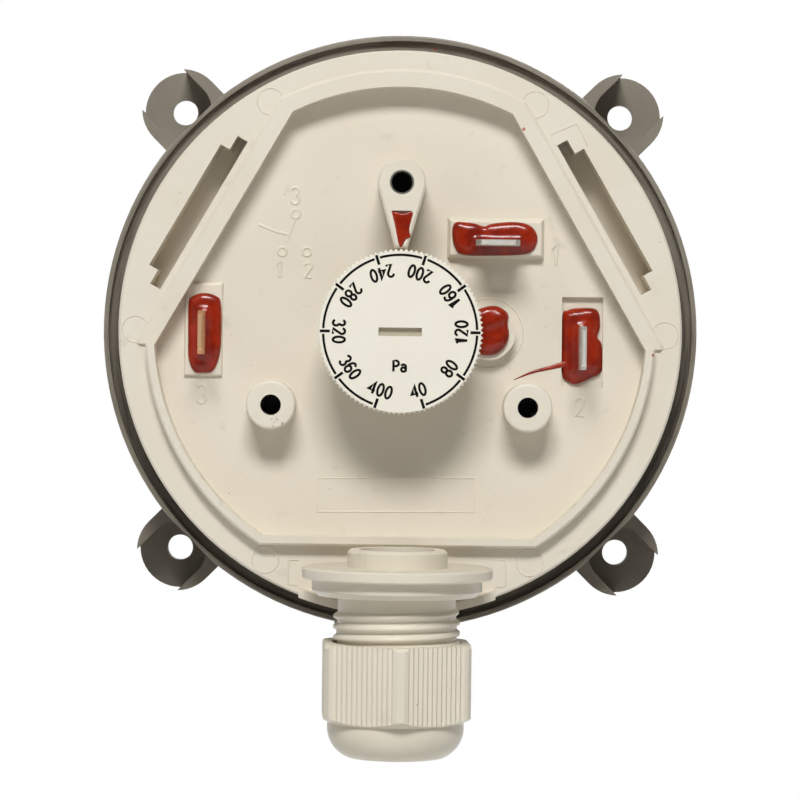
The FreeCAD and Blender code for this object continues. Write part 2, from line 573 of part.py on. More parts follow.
def make_switch_body():
    """The light moulding: front chamber, wiring well, bosses, dial barrel and gland cradle."""
    body = rod(BODY_RADIUS, BODY_REAR, LEDGE)
    body = body.makeChamfer(LEDGE_CHAMFER, ring_edges(body, BODY_RADIUS, LEDGE))
    body = body.cut(well_prism(WELL_RADIUS, WELL_FLAT_DISTANCE, FLOOR, LEDGE))
    body = body.cut(rod(CHAMBER_RADIUS, BODY_REAR, FLOOR_REAR))

    corner_angle = WELL_UPPER_FLATS[0] - math.degrees(math.acos(WELL_FLAT_DISTANCE / WELL_RADIUS))
    corner_z = polar(WELL_RADIUS, corner_angle)[1]
    well = well_prism(WELL_RADIUS, WELL_FLAT_DISTANCE, LEDGE, RIB_TOP)
    rib = well_prism(WELL_RADIUS + RIB_THICKNESS, WELL_FLAT_DISTANCE + RIB_THICKNESS, LEDGE, RIB_TOP)
    rib = rib.makeChamfer(RIB_CHAMFER, front_edges(rib, RIB_TOP))
    lower_half = block((2 * BASE_RADIUS, BASE_RADIUS), (0, corner_z - BASE_RADIUS / 2), LEDGE, RIB_TOP)
    rib = rib.cut(well).common(lower_half)
    band_top = LEDGE + BAND_HEIGHT
    band = well_prism(WELL_RADIUS + BAND_WIDTH, WELL_FLAT_DISTANCE + BAND_WIDTH, LEDGE, band_top)
    band = band.makeChamfer(BAND_CHAMFER, front_edges(band, band_top))
    upper_half = block((2 * BASE_RADIUS, BASE_RADIUS), (0, corner_z + BASE_RADIUS / 2), LEDGE, band_top)
    band = band.cut(well).common(upper_half)

    solids = [rib, band]
    for angle in LOWER_BOSS_ANGLES:
        x, z = polar(BOSS_CIRCLE_RADIUS, angle)
        post = rod(BOSS_RADIUS, FLOOR_REAR - BOSS_ROOT_DEPTH, BOSS_TOP, x, z)
        solids.append(post.makeFillet(BOSS_EDGE_ROUND, ring_edges(post, BOSS_RADIUS, BOSS_TOP)))
    pointer = raised(pointer_outline(POINTER_HEAD_RADIUS, POINTER_TIP_HALF, pointer_tip(), FLOOR),
                     POINTER_HEIGHT)
    pointer = pointer.makeChamfer(POINTER_CHAMFER, front_edges(pointer, POINTER_TOP))
    pointer_root = rod(POINTER_HEAD_RADIUS, FLOOR_REAR - BOSS_ROOT_DEPTH, FLOOR, 0, BOSS_CIRCLE_RADIUS)
    solids += [pointer, pointer_root]
    solids.append(rod(BARREL_RADIUS, FLOOR_REAR, BARREL_TOP))
    solids.append(rod(CALIBRATION_BOSS_RADIUS, FLOOR, FLOOR + CALIBRATION_BOSS_HEIGHT, CALIBRATION_X))
    well_floor = well_prism(WELL_RADIUS, WELL_FLAT_DISTANCE, FLOOR, LEDGE)
    for size, terminal, offset, height in ((BLOCK_1_SIZE, TERMINAL_1, BLOCK_1_OFFSET, BLOCK_1_HEIGHT),
                                           (BLOCK_3_SIZE, TERMINAL_3, BLOCK_3_OFFSET, BLOCK_3_HEIGHT)):
        raised_block = drafted_block(size, shifted(terminal, offset), FLOOR, height)
        raised_block = raised_block.makeFillet(BLOCK_EDGE_ROUND, front_edges(raised_block, FLOOR + height))
        solids.append(raised_block.common(well_floor))
    lip_foot = LEDGE - LEDGE_CHAMFER
    lip = rod(BODY_RADIUS, lip_foot, CRADLE_TOP).cut(rod(BODY_RADIUS - CRADLE_WALL, lip_foot, CRADLE_TOP))
    lip_reach = block((2 * CRADLE_HALF_WIDTH, BODY_RADIUS), (0, -BODY_RADIUS / 2), lip_foot, CRADLE_TOP)
    solids.append(lip.common(lip_reach))
    body = body.fuse(solids)

    cuts = [stepped_slot(angle) for angle in WELL_UPPER_FLATS]
    for angle in LOWER_BOSS_ANGLES:
        x, z = polar(BOSS_CIRCLE_RADIUS, angle)
        cuts.append(rod(BOSS_HOLE_RADIUS, BOSS_TOP - BOSS_HOLE_DEPTH, BOSS_TOP, x, z))
    bush_rear = POINTER_TOP - BUSH_LENGTH
    cuts.append(rod(BOSS_HOLE_RADIUS, BOSS_TOP - BOSS_HOLE_DEPTH, POINTER_TOP, 0, BOSS_CIRCLE_RADIUS))
    cuts.append(rod(BOSS_HOLE_RADIUS + BUSH_WALL, bush_rear, POINTER_TOP, 0, BOSS_CIRCLE_RADIUS))
    cuts.append(raised(pocket_outline(POINTER_TOP - POINTER_POCKET_DEPTH), POINTER_POCKET_DEPTH))
    cuts.append(block(POCKET_2_SIZE, shifted(TERMINAL_2, POCKET_2_OFFSET), FLOOR - POCKET_2_DEPTH, LEDGE))
    cuts.append(tab_slot(TERMINAL_1, True))
    cuts.append(tab_slot(TERMINAL_2, False))
    cuts.append(tab_slot(TERMINAL_3, False))
    calibration_top = FLOOR + CALIBRATION_BOSS_HEIGHT
    cuts.append(rod(CALIBRATION_CUP_RADIUS, calibration_top - CALIBRATION_CUP_DEPTH, calibration_top,
                    CALIBRATION_X))
    cuts.append(rod(CALIBRATION_RADIUS + CALIBRATION_CLEARANCE, FLOOR_REAR, calibration_top, CALIBRATION_X))
    cuts.append(rod(BARREL_BORE_RADIUS, FLOOR_REAR, BARREL_ROOF))
    cuts.append(rod(JOURNAL_RADIUS + JOURNAL_CLEARANCE, BARREL_ROOF, BARREL_TOP))
    cuts.append(rod(SEAL_POCKET_RADIUS, BARREL_TOP - SEAL_POCKET_DEPTH, BARREL_TOP))
    key_slot = block((2 * (BARREL_BORE_RADIUS + SEAT_KEY_REACH), SEAT_KEY_WIDTH + 2 * SEAT_CLEARANCE),
                     (0, 0), FLOOR_REAR, BARREL_ROOF)
    cuts.append(key_slot)
    for angle in SCREW_ANGLES:
        x, z = polar(SCREW_CIRCLE_RADIUS, angle)
        cuts.append(rod(SCREW_HOLE_RADIUS, BODY_REAR, SCREW_SINK + SCREW_LENGTH + SCREW_HEAD_HEIGHT, x, z))
    half = NOZZLE_SPACING / 2
    port_front = BODY_REAR + PORT_FRONT_LENGTH
    cuts.append(rod(NOZZLE_BORE_RADIUS, BODY_REAR, port_front, half, -PORT_RADIUS_FROM_AXIS))
    cuts.append(upright_rod(NOZZLE_BORE_RADIUS, -PORT_RADIUS_FROM_AXIS, PORT_INNER_END, half,
                            port_front - NOZZLE_BORE_RADIUS))
    seat = GLAND_SEAT_CLEARANCE
    cuts.append(upright_rod(GLAND_FLANGE_RADIUS + seat, DISC_START - seat, FLANGE_START + seat,
                            0, GLAND_AXIS_DEPTH))
    cuts.append(upright_rod(GLAND_NECK_RADIUS + seat, -BASE_RADIUS, DISC_START, 0, GLAND_AXIS_DEPTH))
    return body.cut(cuts).removeSplitter()


def make_cover_bush():
    """The metal bush let into the pointer boss for the upper cover screw."""
    outer = rod(BOSS_HOLE_RADIUS + BUSH_WALL, POINTER_TOP - BUSH_LENGTH, POINTER_TOP, 0, BOSS_CIRCLE_RADIUS)
    return outer.cut(rod(BOSS_HOLE_RADIUS, POINTER_TOP - BUSH_LENGTH, POINTER_TOP, 0, BOSS_CIRCLE_RADIUS))


def make_housing_screws():
    """The six screws that clamp the two halves on the diaphragm's rim."""
    screws = []
    for angle in SCREW_ANGLES:
        x, z = polar(SCREW_CIRCLE_RADIUS, angle)
        seat = SCREW_SINK + SCREW_HEAD_HEIGHT
        head = rod(SCREW_HEAD_RADIUS, SCREW_SINK, seat, x, z)
        screw = head.fuse(rod(SCREW_RADIUS, seat, seat + SCREW_LENGTH, x, z))
        recess_depth = SCREW_SINK + SCREW_RECESS_DEPTH
        recess = (2 * SCREW_RECESS_RADIUS, SCREW_RECESS_WIDTH)
        for size in (recess, recess[::-1]):
            screw = screw.cut(block(size, (x, z), SCREW_SINK, recess_depth))
        screws.append(screw.removeSplitter())
    return Part.makeCompound(screws)


def make_diaphragm():
    """The silicone diaphragm: clamped rim, one deep roll and a flat centre."""
    rear, front = LAND_DEPTH, BODY_REAR
    middle = (ROLL_OUTER_RADIUS + ROLL_INNER_RADIUS) / 2
    edge = BODY_RADIUS - HOUSING_GAP
    wall = MEMBRANE_THICKNESS
    front_roll = Part.Arc(at(ROLL_INNER_RADIUS, front, 0), at(middle, front - ROLL_DEPTH, 0),
                          at(ROLL_OUTER_RADIUS, front, 0)).toShape()
    rear_roll = Part.Arc(at(ROLL_OUTER_RADIUS + wall, rear, 0), at(middle, rear - ROLL_DEPTH, 0),
                         at(ROLL_INNER_RADIUS - wall, rear, 0)).toShape()
    rim = Part.makePolygon([at(ROLL_OUTER_RADIUS, front, 0), at(edge, front, 0), at(edge, rear, 0),
                            at(ROLL_OUTER_RADIUS + wall, rear, 0)])
    centre = Part.makePolygon([at(ROLL_INNER_RADIUS - wall, rear, 0), at(MEMBRANE_HOLE_RADIUS, rear, 0),
                               at(MEMBRANE_HOLE_RADIUS, front, 0), at(ROLL_INNER_RADIUS, front, 0)])
    face = Part.Face(Part.Wire([front_roll] + rim.Edges + [rear_roll] + centre.Edges))
    membrane = face.revolve(Vector(0, 0, 0), Vector(0, 1, 0), 360)
    holes = [rod(NOZZLE_BORE_RADIUS, rear, front, NOZZLE_SPACING / 2, -PORT_RADIUS_FROM_AXIS)]
    for angle in SCREW_ANGLES:
        x, z = polar(SCREW_CIRCLE_RADIUS, angle)
        holes.append(rod(SCREW_HOLE_RADIUS, rear, front, x, z))
    return membrane.cut(holes)


def make_front_plate():
    """The plate in front of the diaphragm, with the pusher that lifts the snap blade."""
    plate = rod(PLATE_RADIUS, BODY_REAR, PLATE_FRONT)
    pusher = rod(PUSHER_RADIUS, PLATE_FRONT, PLATE_FRONT + PUSHER_HEIGHT, -PUSHER_OFFSET)
    pusher = pusher.makeFillet(PUSHER_ROUND, ring_edges(pusher, PUSHER_RADIUS, PLATE_FRONT + PUSHER_HEIGHT))
    return plate.fuse(pusher).cut(rod(STUD_RADIUS + STUD_CLEARANCE, BODY_REAR, PLATE_FRONT)).removeSplitter()


def make_rear_plate():
    """The plate behind the diaphragm."""
    rear = LAND_DEPTH - REAR_PLATE_THICKNESS
    return rod(PLATE_RADIUS, rear, LAND_DEPTH).cut(rod(STUD_RADIUS + STUD_CLEARANCE, rear, LAND_DEPTH))


def make_diaphragm_stud():
    """The stud that rivets the plates together; its nose centres the range spring."""
    seat = LAND_DEPTH - REAR_PLATE_THICKNESS
    head = rod(STUD_HEAD_RADIUS, seat - STUD_HEAD_HEIGHT, seat)
    tip = PLATE_FRONT + STUD_NOSE_LENGTH
    shank = rod(STUD_RADIUS, seat, tip)
    shank = shank.makeChamfer(STUD_CHAMFER, ring_edges(shank, STUD_RADIUS, tip))
    return head.fuse(shank).removeSplitter()


def make_range_spring():
    """The compression spring between the diaphragm's plate and the adjusting nut."""
    start = PLATE_FRONT + SPRING_WIRE_RADIUS + SPRING_END_GAP
    end = SEAT_REAR - SPRING_WIRE_RADIUS - SPRING_END_GAP
    length = end - start
    helix = Part.makeHelix(length / SPRING_TURNS, length, SPRING_RADIUS)
    section = Part.Wire([Part.makeCircle(SPRING_WIRE_RADIUS, Vector(SPRING_RADIUS, 0, 0), Vector(0, 1, 0))])
    spring = Part.Wire(helix.Edges).makePipeShell([section], True, True)
    spring.rotate(Vector(0, 0, 0), Vector(1, 0, 0), 90)
    spring.translate(at(0, start, 0))
    return spring


def make_adjusting_nut():
    """The keyed nut that the spindle winds up and down to load the range spring."""
    nut = rod(BARREL_BORE_RADIUS - SEAT_CLEARANCE, SEAT_REAR, SEAT_FRONT)
    reach = BARREL_BORE_RADIUS + SEAT_KEY_REACH - SEAT_CLEARANCE
    keys = block((2 * reach, SEAT_KEY_WIDTH), (0, 0), SEAT_REAR, SEAT_FRONT)
    bore = rod(THREAD_RADIUS + THREAD_CLEARANCE, SEAT_REAR, SEAT_FRONT)
    return nut.fuse(keys).cut(bore).removeSplitter()


def make_dial_spindle():
    """The spindle: coarse thread, thrust collar, sealed journal and the end pressed into the dial."""
    pieces = [rod(THREAD_RADIUS, COLLAR_REAR - THREAD_LENGTH, COLLAR_REAR),
              rod(COLLAR_RADIUS, COLLAR_REAR, COLLAR_FRONT),
              rod(JOURNAL_RADIUS, COLLAR_FRONT, HUB_REAR),
              rod(SPLINE_RADIUS, HUB_REAR, FACE_REAR)]
    return pieces[0].fuse(pieces[1:]).removeSplitter()


def make_spindle_seal():
    """The rubber ring that seals the spindle in the barrel."""
    ring_radius = JOURNAL_RADIUS + SEAL_GAP + SEAL_WIRE_RADIUS
    depth = BARREL_TOP - SEAL_POCKET_DEPTH / 2
    return Part.makeTorus(ring_radius, SEAL_WIRE_RADIUS, at(0, depth, 0), Vector(0, -1, 0))


def toothed_outline(depth):
    """The dial's finely toothed edge."""
    corners = []
    for tooth in range(DIAL_TEETH):
        for part, radius in ((0, DIAL_RADIUS), (0.5, DIAL_RADIUS - DIAL_TOOTH_DEPTH)):
            x, z = polar(radius, 360 / DIAL_TEETH * (tooth + part))
            corners.append(at(x, depth, z))
    return Part.makePolygon(corners + corners[:1])


def make_dial():
    """The setpoint dial: a toothed cap with a hub and a shallow coin slot in its face."""
    rim_rear = FACE_FRONT - DIAL_RIM_HEIGHT
    dial = raised(toothed_outline(rim_rear), DIAL_RIM_HEIGHT)
    lens = spun([(0, rim_rear), (DIAL_RADIUS, rim_rear), (DIAL_RADIUS, FACE_FRONT - DIAL_EDGE_CHAMFER),
                 (DIAL_RADIUS - DIAL_EDGE_CHAMFER, FACE_FRONT), (0, FACE_FRONT)])
    dial = dial.common(lens)
    hollow = rod(DIAL_RADIUS - DIAL_TOOTH_DEPTH - DIAL_RIM_WALL, rim_rear, FACE_REAR)
    dial = dial.cut(hollow).fuse(rod(DIAL_HUB_RADIUS, HUB_REAR, FACE_REAR))
    slot = block((COIN_SLOT_LENGTH, COIN_SLOT_WIDTH), (0, 0), FACE_FRONT - COIN_SLOT_DEPTH, FACE_FRONT)
    return dial.cut([slot, rod(SPLINE_RADIUS, HUB_REAR, FACE_REAR)]).removeSplitter()


def tab_blade(centre, flat_along_x, foot_depth, tip_depth):
    """The straight part of a spade terminal, with bevelled tip and test hole."""
    half, low = TAB_WIDTH / 2, -TAB_THICKNESS / 2
    shoulder = tip_depth - TAB_BEVEL
    corners = [at(-half, foot_depth, low), at(half, foot_depth, low), at(half, shoulder, low),
               at(half - TAB_BEVEL, tip_depth, low), at(TAB_BEVEL - half, tip_depth, low),
               at(-half, shoulder, low)]
    blade = Part.Face(Part.makePolygon(corners + corners[:1])).extrude(Vector(0, 0, TAB_THICKNESS))
    long_edges = [edge for edge in front_edges(blade, tip_depth) if edge.BoundBox.ZLength < 1e-6]
    blade = blade.makeChamfer(TAB_TIP_CHAMFER, long_edges)
    hole = upright_rod(TAB_HOLE_RADIUS, -TAB_THICKNESS, TAB_THICKNESS, 0, tip_depth - TAB_HOLE_FROM_TIP)
    blade = blade.cut(hole)
    if not flat_along_x:
        blade = turned(blade, 90)
    blade.translate(Vector(centre[0], 0, centre[1]))
    return blade


def contact_rivet(depth_a, depth_b, head_depth_a, head_depth_b):
    """A contact rivet: a shank through its carrier and one head."""
    shank = rod(CONTACT_SHANK_RADIUS, depth_a, depth_b, CONTACT_X)
    return shank.fuse(rod(CONTACT_HEAD_RADIUS, head_depth_a, head_depth_b, CONTACT_X))


def rest_foot_depth():
    """Depth of the front face of terminal 1's foot, which carries the rest contact."""
    return REAR_CONTACT_TOP - CONTACT_HEAD_HEIGHT


def work_foot_depth():
    """Depth of the rear face of terminal 2's foot, which carries the working contact."""
    return FRONT_CONTACT_REAR + CONTACT_HEAD_HEIGHT


def make_terminal_1():
    """Terminal 1: its leg passes beside the blade to a foot behind it."""
    x, z = TERMINAL_1
    front = rest_foot_depth()
    rear = front - TAB_THICKNESS
    tab = tab_blade(TERMINAL_1, True, rear, FLOOR + TAB_HEIGHT)
    left, right = x - TAB_WIDTH / 2, CONTACT_X + FOOT_WIDTH / 2
    top = z + TAB_THICKNESS / 2
    cross = block((right - left, FOOT_WIDTH), ((left + right) / 2, top - FOOT_WIDTH / 2), rear, front)
    arm_length = top + FOOT_OVERLAP
    arm = block((FOOT_WIDTH, arm_length), (CONTACT_X, top - arm_length / 2), rear, front)
    hole = rod(CONTACT_SHANK_RADIUS, rear, front, CONTACT_X)
    return tab.fuse([cross, arm]).cut(hole).removeSplitter()


def make_terminal_2():
    """Terminal 2: a foot in front of the blade."""
    x, z = TERMINAL_2
    rear = work_foot_depth()
    front = rear + TAB_THICKNESS
    tab = tab_blade(TERMINAL_2, False, rear, FLOOR + TAB_HEIGHT)
    right, left = x + TAB_THICKNESS / 2, CONTACT_X - FOOT_OVERLAP
    foot = block((right - left, 2 * FOOT_WIDTH), ((left + right) / 2, z + FOOT_WIDTH / 2), rear, front)
    hole = rod(CONTACT_SHANK_RADIUS, rear, front, CONTACT_X)
    return tab.fuse(foot).cut(hole).removeSplitter()


def make_terminal_3():
    """Terminal 3, the common one: its foot ends in the notch that the blade rocks in."""
    x, z = TERMINAL_3
    post_face = BLADE_PIVOT_X + KNIFE_GAP
    post_rear = BLADE_DEPTH - KNIFE_POST_BELOW
    rear = BLADE_DEPTH + KNIFE_POST_BELOW
    front = rear + TAB_THICKNESS
    tab = tab_blade(TERMINAL_3, False, rear, FLOOR + TAB_HEIGHT)
    left = x - TAB_THICKNESS / 2
    foot = block((post_face - left, 2 * KNIFE_HALF_WIDTH), ((left + post_face) / 2, 0), rear, front)
    post = block((TAB_THICKNESS, 2 * KNIFE_HALF_WIDTH), (post_face - TAB_THICKNESS / 2, 0), post_rear, rear)
    notch_corners = [at(post_face, BLADE_DEPTH - KNIFE_NOTCH, -KNIFE_HALF_WIDTH),
                     at(post_face, BLADE_DEPTH + KNIFE_NOTCH, -KNIFE_HALF_WIDTH),
                     at(post_face - KNIFE_NOTCH, BLADE_DEPTH, -KNIFE_HALF_WIDTH)]
    notch = Part.Face(Part.makePolygon(notch_corners + notch_corners[:1]))
    notch = notch.extrude(Vector(0, 0, 2 * KNIFE_HALF_WIDTH))
    return tab.fuse([foot, post]).cut(notch).removeSplitter()


def make_rest_contact():
    """The fixed contact behind the blade, on terminal 1."""
    front = rest_foot_depth()
    return contact_rivet(front - TAB_THICKNESS, front, front, REAR_CONTACT_TOP).removeSplitter()


def make_working_contact():
    """The fixed contact in front of the blade, on terminal 2."""
    rear = work_foot_depth()
    return contact_rivet(rear, rear + TAB_THICKNESS, FRONT_CONTACT_REAR, rear).removeSplitter()


def make_moving_contact():
    """The double-headed contact at the blade's tip."""
    rear_head = rod(CONTACT_HEAD_RADIUS, BLADE_REAR - CONTACT_HEAD_HEIGHT, BLADE_REAR, CONTACT_X)
    front_head = rod(CONTACT_HEAD_RADIUS, BLADE_FRONT, BLADE_FRONT + CONTACT_HEAD_HEIGHT, CONTACT_X)
    shank = rod(CONTACT_SHANK_RADIUS, BLADE_REAR, BLADE_FRONT, CONTACT_X)
    return rear_head.fuse([front_head, shank]).removeSplitter()


def make_snap_blade():
    """The rocking blade: a knife-edge root, a window round the spring and a tapered tip."""
    tip = CONTACT_X + BLADE_TIP_OVERHANG
    shoulder = BLADE_WINDOW_HALF_LENGTH + BLADE_TIP_OVERHANG
    outline = [(BLADE_PIVOT_X, KNIFE_HALF_WIDTH - KNIFE_GAP), (-shoulder, BLADE_HALF_WIDTH),
               (shoulder, BLADE_HALF_WIDTH), (tip, CONTACT_HEAD_RADIUS + KNIFE_NOTCH)]
    upper = [at(x, BLADE_REAR, z) for x, z in outline]
    lower = [at(x, BLADE_REAR, -z) for x, z in reversed(outline)]
    blade = raised(Part.makePolygon(upper + lower + upper[:1]), BLADE_THICKNESS)
    window_size = (2 * BLADE_WINDOW_HALF_LENGTH, 2 * BLADE_WINDOW_HALF_WIDTH)
    window = block(window_size, (0, 0), BLADE_REAR, BLADE_FRONT)
    return blade.cut([window, rod(CONTACT_SHANK_RADIUS, BLADE_REAR, BLADE_FRONT, CONTACT_X)])


def make_calibration_screw():
    """The factory setting screw beside the dial, a stop for the blade."""
    tip = BLADE_FRONT + CALIBRATION_TIP_GAP
    top = FLOOR + CALIBRATION_BOSS_HEIGHT - CALIBRATION_CUP_DEPTH
    screw = rod(CALIBRATION_RADIUS, tip, top, CALIBRATION_X)
    slot = block((2 * CALIBRATION_RADIUS, CALIBRATION_SLOT_WIDTH), (CALIBRATION_X, 0),
                 top - CALIBRATION_SLOT_DEPTH, top)
    return screw.cut(slot)


def lacquer_drop(size, centre, depth):
    """A drop of lacquer with rounded corners and a rounded edge."""
    drop = block(size, centre, depth, depth + LACQUER_THICKNESS)
    corner = min(LACQUER_CORNER, size[0] / 2.05, size[1] / 2.05)
    uprights = [edge for edge in drop.Edges if edge.BoundBox.YLength > LACQUER_THICKNESS / 2]
    drop = drop.makeFillet(corner, uprights)
    return drop.makeFillet(LACQUER_EDGE_ROUND, front_edges(drop, depth + LACQUER_THICKNESS))


def make_lacquer(terminal, flat_along_x, size, offset, depth):
    """The lacquer that seals a terminal, with the tab standing through it."""
    drop = lacquer_drop(size, shifted(terminal, offset), depth)
    return drop.cut(tab_slot(terminal, flat_along_x))


def make_calibration_lacquer():
    """The lacquer that fills the cup over the calibration screw."""
    cup_floor = FLOOR + CALIBRATION_BOSS_HEIGHT - CALIBRATION_CUP_DEPTH
    crown = cup_floor + CALIBRATION_CUP_DEPTH + LACQUER_EDGE_ROUND
    lacquer = rod(CALIBRATION_CUP_RADIUS, cup_floor, crown, CALIBRATION_X)
    rim = ring_edges(lacquer, CALIBRATION_CUP_RADIUS, crown)
    return lacquer.makeFillet(LACQUER_CROWN_ROUND, rim)


def make_pointer_lacquer():
    """The lacquer that fills the pointer's pocket."""
    depth = POINTER_TOP - POINTER_POCKET_DEPTH
    return raised(pocket_outline(depth), POINTER_POCKET_DEPTH - POINTER_LACQUER_BELOW)


def make_gland_body():
    """The gland's body: collar, flange, second disc and the neck that carries the thread."""
    mouth_top = NECK_END + GLAND_MOUTH_LENGTH
    edge = GLAND_EDGE_ROUND
    chamfer = GLAND_FLANGE_CHAMFER
    return gland_spun([
        (GLAND_BORE_RADIUS, GLAND_TOP), (GLAND_COLLAR_RADIUS - edge, GLAND_TOP),
        (GLAND_COLLAR_RADIUS, GLAND_TOP - edge), (GLAND_COLLAR_RADIUS, FLANGE_START),
        (GLAND_FLANGE_RADIUS - chamfer, FLANGE_START), (GLAND_FLANGE_RADIUS, FLANGE_START - chamfer),
        (GLAND_FLANGE_RADIUS, DISC_START + chamfer), (GLAND_FLANGE_RADIUS - chamfer, DISC_START),
        (GLAND_DISC_RADIUS, DISC_START), (GLAND_DISC_RADIUS, NECK_START + 2 * edge),
        (GLAND_DISC_RADIUS - 2 * edge, NECK_START), (GLAND_NECK_RADIUS, NECK_START),
        (GLAND_NECK_RADIUS, NECK_END), (GLAND_MOUTH_RADIUS, NECK_END),
        (GLAND_MOUTH_RADIUS, mouth_top), (GLAND_BORE_RADIUS, mouth_top)])


def nut_outline(z):
    """The nut's hexagon with fine ribs along its flats and smooth bands at its corners."""
    apothem = NUT_ACROSS_FLATS / 2
    half_side = apothem * math.tan(math.radians(30))
    ribbed = 2 * (half_side - NUT_SMOOTH_BAND)
    pitch = ribbed / NUT_RIBS_PER_FLAT
    corners = []
    for flat in range(6):
        normal = 60 * flat + NUT_TURN
        points = [(apothem, -half_side)]
        for rib in range(NUT_RIBS_PER_FLAT):
            low = -ribbed / 2 + pitch * rib
            points += [(apothem, low), (apothem - NUT_RIB_DEPTH, low + pitch / 2)]
        points.append((apothem, ribbed / 2))
        for out, along in points:
            reach, turn = math.hypot(out, along), math.degrees(math.atan2(along, out))
            x, y = polar(reach, normal + turn)
            corners.append(Vector(x, y - GLAND_AXIS_DEPTH, z))
    return Part.makePolygon(corners + corners[:1])


def make_gland_nut():
    """The clamping nut: a ribbed hexagon that runs into a smooth dome."""
    outer = Part.Face(nut_outline(NUT_HEX_END)).extrude(Vector(0, 0, NUT_HEX_LENGTH))
    turned_limit = gland_spun([(0, NUT_START), (NUT_CORNER_RADIUS - NUT_CHAMFER, NUT_START),
                               (NUT_CORNER_RADIUS, NUT_START - NUT_CHAMFER),
                               (NUT_CORNER_RADIUS, NUT_HEX_END + 2 * NUT_CHAMFER),
                               (NUT_DOME_RADIUS, NUT_HEX_END), (0, NUT_HEX_END)])
    outer = outer.common(turned_limit)
    face_radius = NUT_MOUTH_RADIUS + NUT_WALL_AT_MOUTH
    start = at(NUT_DOME_RADIUS, GLAND_AXIS_DEPTH, NUT_HEX_END)
    end = at(face_radius, GLAND_AXIS_DEPTH, NUT_END)
    lean = math.radians(NUT_DOME_LEAN)
    crown = at(face_radius + (NUT_DOME_RADIUS - face_radius) * math.cos(lean), GLAND_AXIS_DEPTH,
               NUT_HEX_END - NUT_DOME_LENGTH * math.sin(lean))
    side = Part.Arc(start, crown, end).toShape()
    axis_top, axis_end = at(0, GLAND_AXIS_DEPTH, NUT_HEX_END), at(0, GLAND_AXIS_DEPTH, NUT_END)
    rest = Part.makePolygon([end, axis_end, axis_top, start])
    dome = Part.Face(Part.Wire([side] + rest.Edges)).revolve(axis_top, Vector(0, 0, 1), 360)
    thread_bore = GLAND_NECK_RADIUS + GLAND_THREAD_HEIGHT + NUT_THREAD_CLEARANCE
    bore = gland_spun([(0, NUT_START), (thread_bore, NUT_START), (thread_bore, NUT_HEX_END + NUT_CONE_RISE),
                       (NUT_MOUTH_RADIUS, NUT_END + NUT_WALL_AT_MOUTH), (NUT_MOUTH_RADIUS, NUT_END),
                       (0, NUT_END)])
    return outer.fuse(dome).cut(bore).removeSplitter()


def make_gland_claws():
    """The slit clamping insert that the nut's dome closes on the cable seal."""
    inner = CLAW_RADIUS - CLAW_WALL
    tube = gland_spun([(inner, CLAW_TOP), (CLAW_RADIUS, CLAW_TOP), (CLAW_RADIUS, CLAW_TOP - CLAW_LENGTH),
                       (inner, CLAW_TOP - CLAW_LENGTH)])
    slits = []
    for claw in range(CLAW_COUNT // 2):
        slit = Part.makeBox(4 * CLAW_RADIUS, CLAW_SLIT, CLAW_LENGTH - CLAW_RING_LENGTH,
                            Vector(-2 * CLAW_RADIUS, -CLAW_SLIT / 2, CLAW_TOP - CLAW_LENGTH))
        slit.rotate(Vector(0, 0, 0), Vector(0, 0, 1), 360 / CLAW_COUNT * (claw + 0.5))
        slit.translate(at(0, GLAND_AXIS_DEPTH, 0))
        slits.append(slit)
    return tube.cut(slits)


def make_gland_seal():
    """The rubber sleeve inside the claws that grips the cable."""
    outer = CLAW_RADIUS - CLAW_WALL - GROMMET_GAP
    return gland_spun([(GROMMET_HOLE_RADIUS, CLAW_TOP), (outer, CLAW_TOP), (outer, CLAW_TOP - CLAW_LENGTH),
                       (GROMMET_HOLE_RADIUS, CLAW_TOP - CLAW_LENGTH)])


os.makedirs("parts", exist_ok=True)
export("base_shell", make_base_shell())
export("switch_body", make_switch_body())
export("housing_screws", make_housing_screws())
export("cover_bush", make_cover_bush())
export("diaphragm", make_diaphragm())
export("diaphragm_front_plate", make_front_plate())
export("diaphragm_rear_plate", make_rear_plate())
export("diaphragm_stud", make_diaphragm_stud())
export("range_spring", make_range_spring())
export("adjusting_nut", make_adjusting_nut())
export("dial_spindle", make_dial_spindle())
export("spindle_seal", make_spindle_seal())
export("setpoint_dial", make_dial())
export("terminal_1", make_terminal_1())
export("terminal_2", make_terminal_2())
export("terminal_3", make_terminal_3())
export("rest_contact", make_rest_contact())
export("working_contact", make_working_contact())
export("moving_contact", make_moving_contact())
export("snap_blade", make_snap_blade())
export("calibration_screw", make_calibration_screw())
export("lacquer_1", make_lacquer(TERMINAL_1, True, LACQUER_1_SIZE, LACQUER_1_OFFSET, FLOOR + BLOCK_1_HEIGHT))
export("lacquer_2", make_lacquer(TERMINAL_2, False, LACQUER_2_SIZE, LACQUER_2_OFFSET, FLOOR - POCKET_2_DEPTH))
export("lacquer_3", make_lacquer(TERMINAL_3, False, LACQUER_3_SIZE, LACQUER_3_OFFSET, FLOOR + BLOCK_3_HEIGHT))
export("calibration_lacquer", make_calibration_lacquer())
export("pointer_lacquer", make_pointer_lacquer())
export("gland_body", make_gland_body())
export("gland_claws", make_gland_claws())
export("gland_seal", make_gland_seal())
export("gland_nut", make_gland_nut())
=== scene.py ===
import math

import bmesh
import bpy
from mathutils import Matrix, Vector, noise


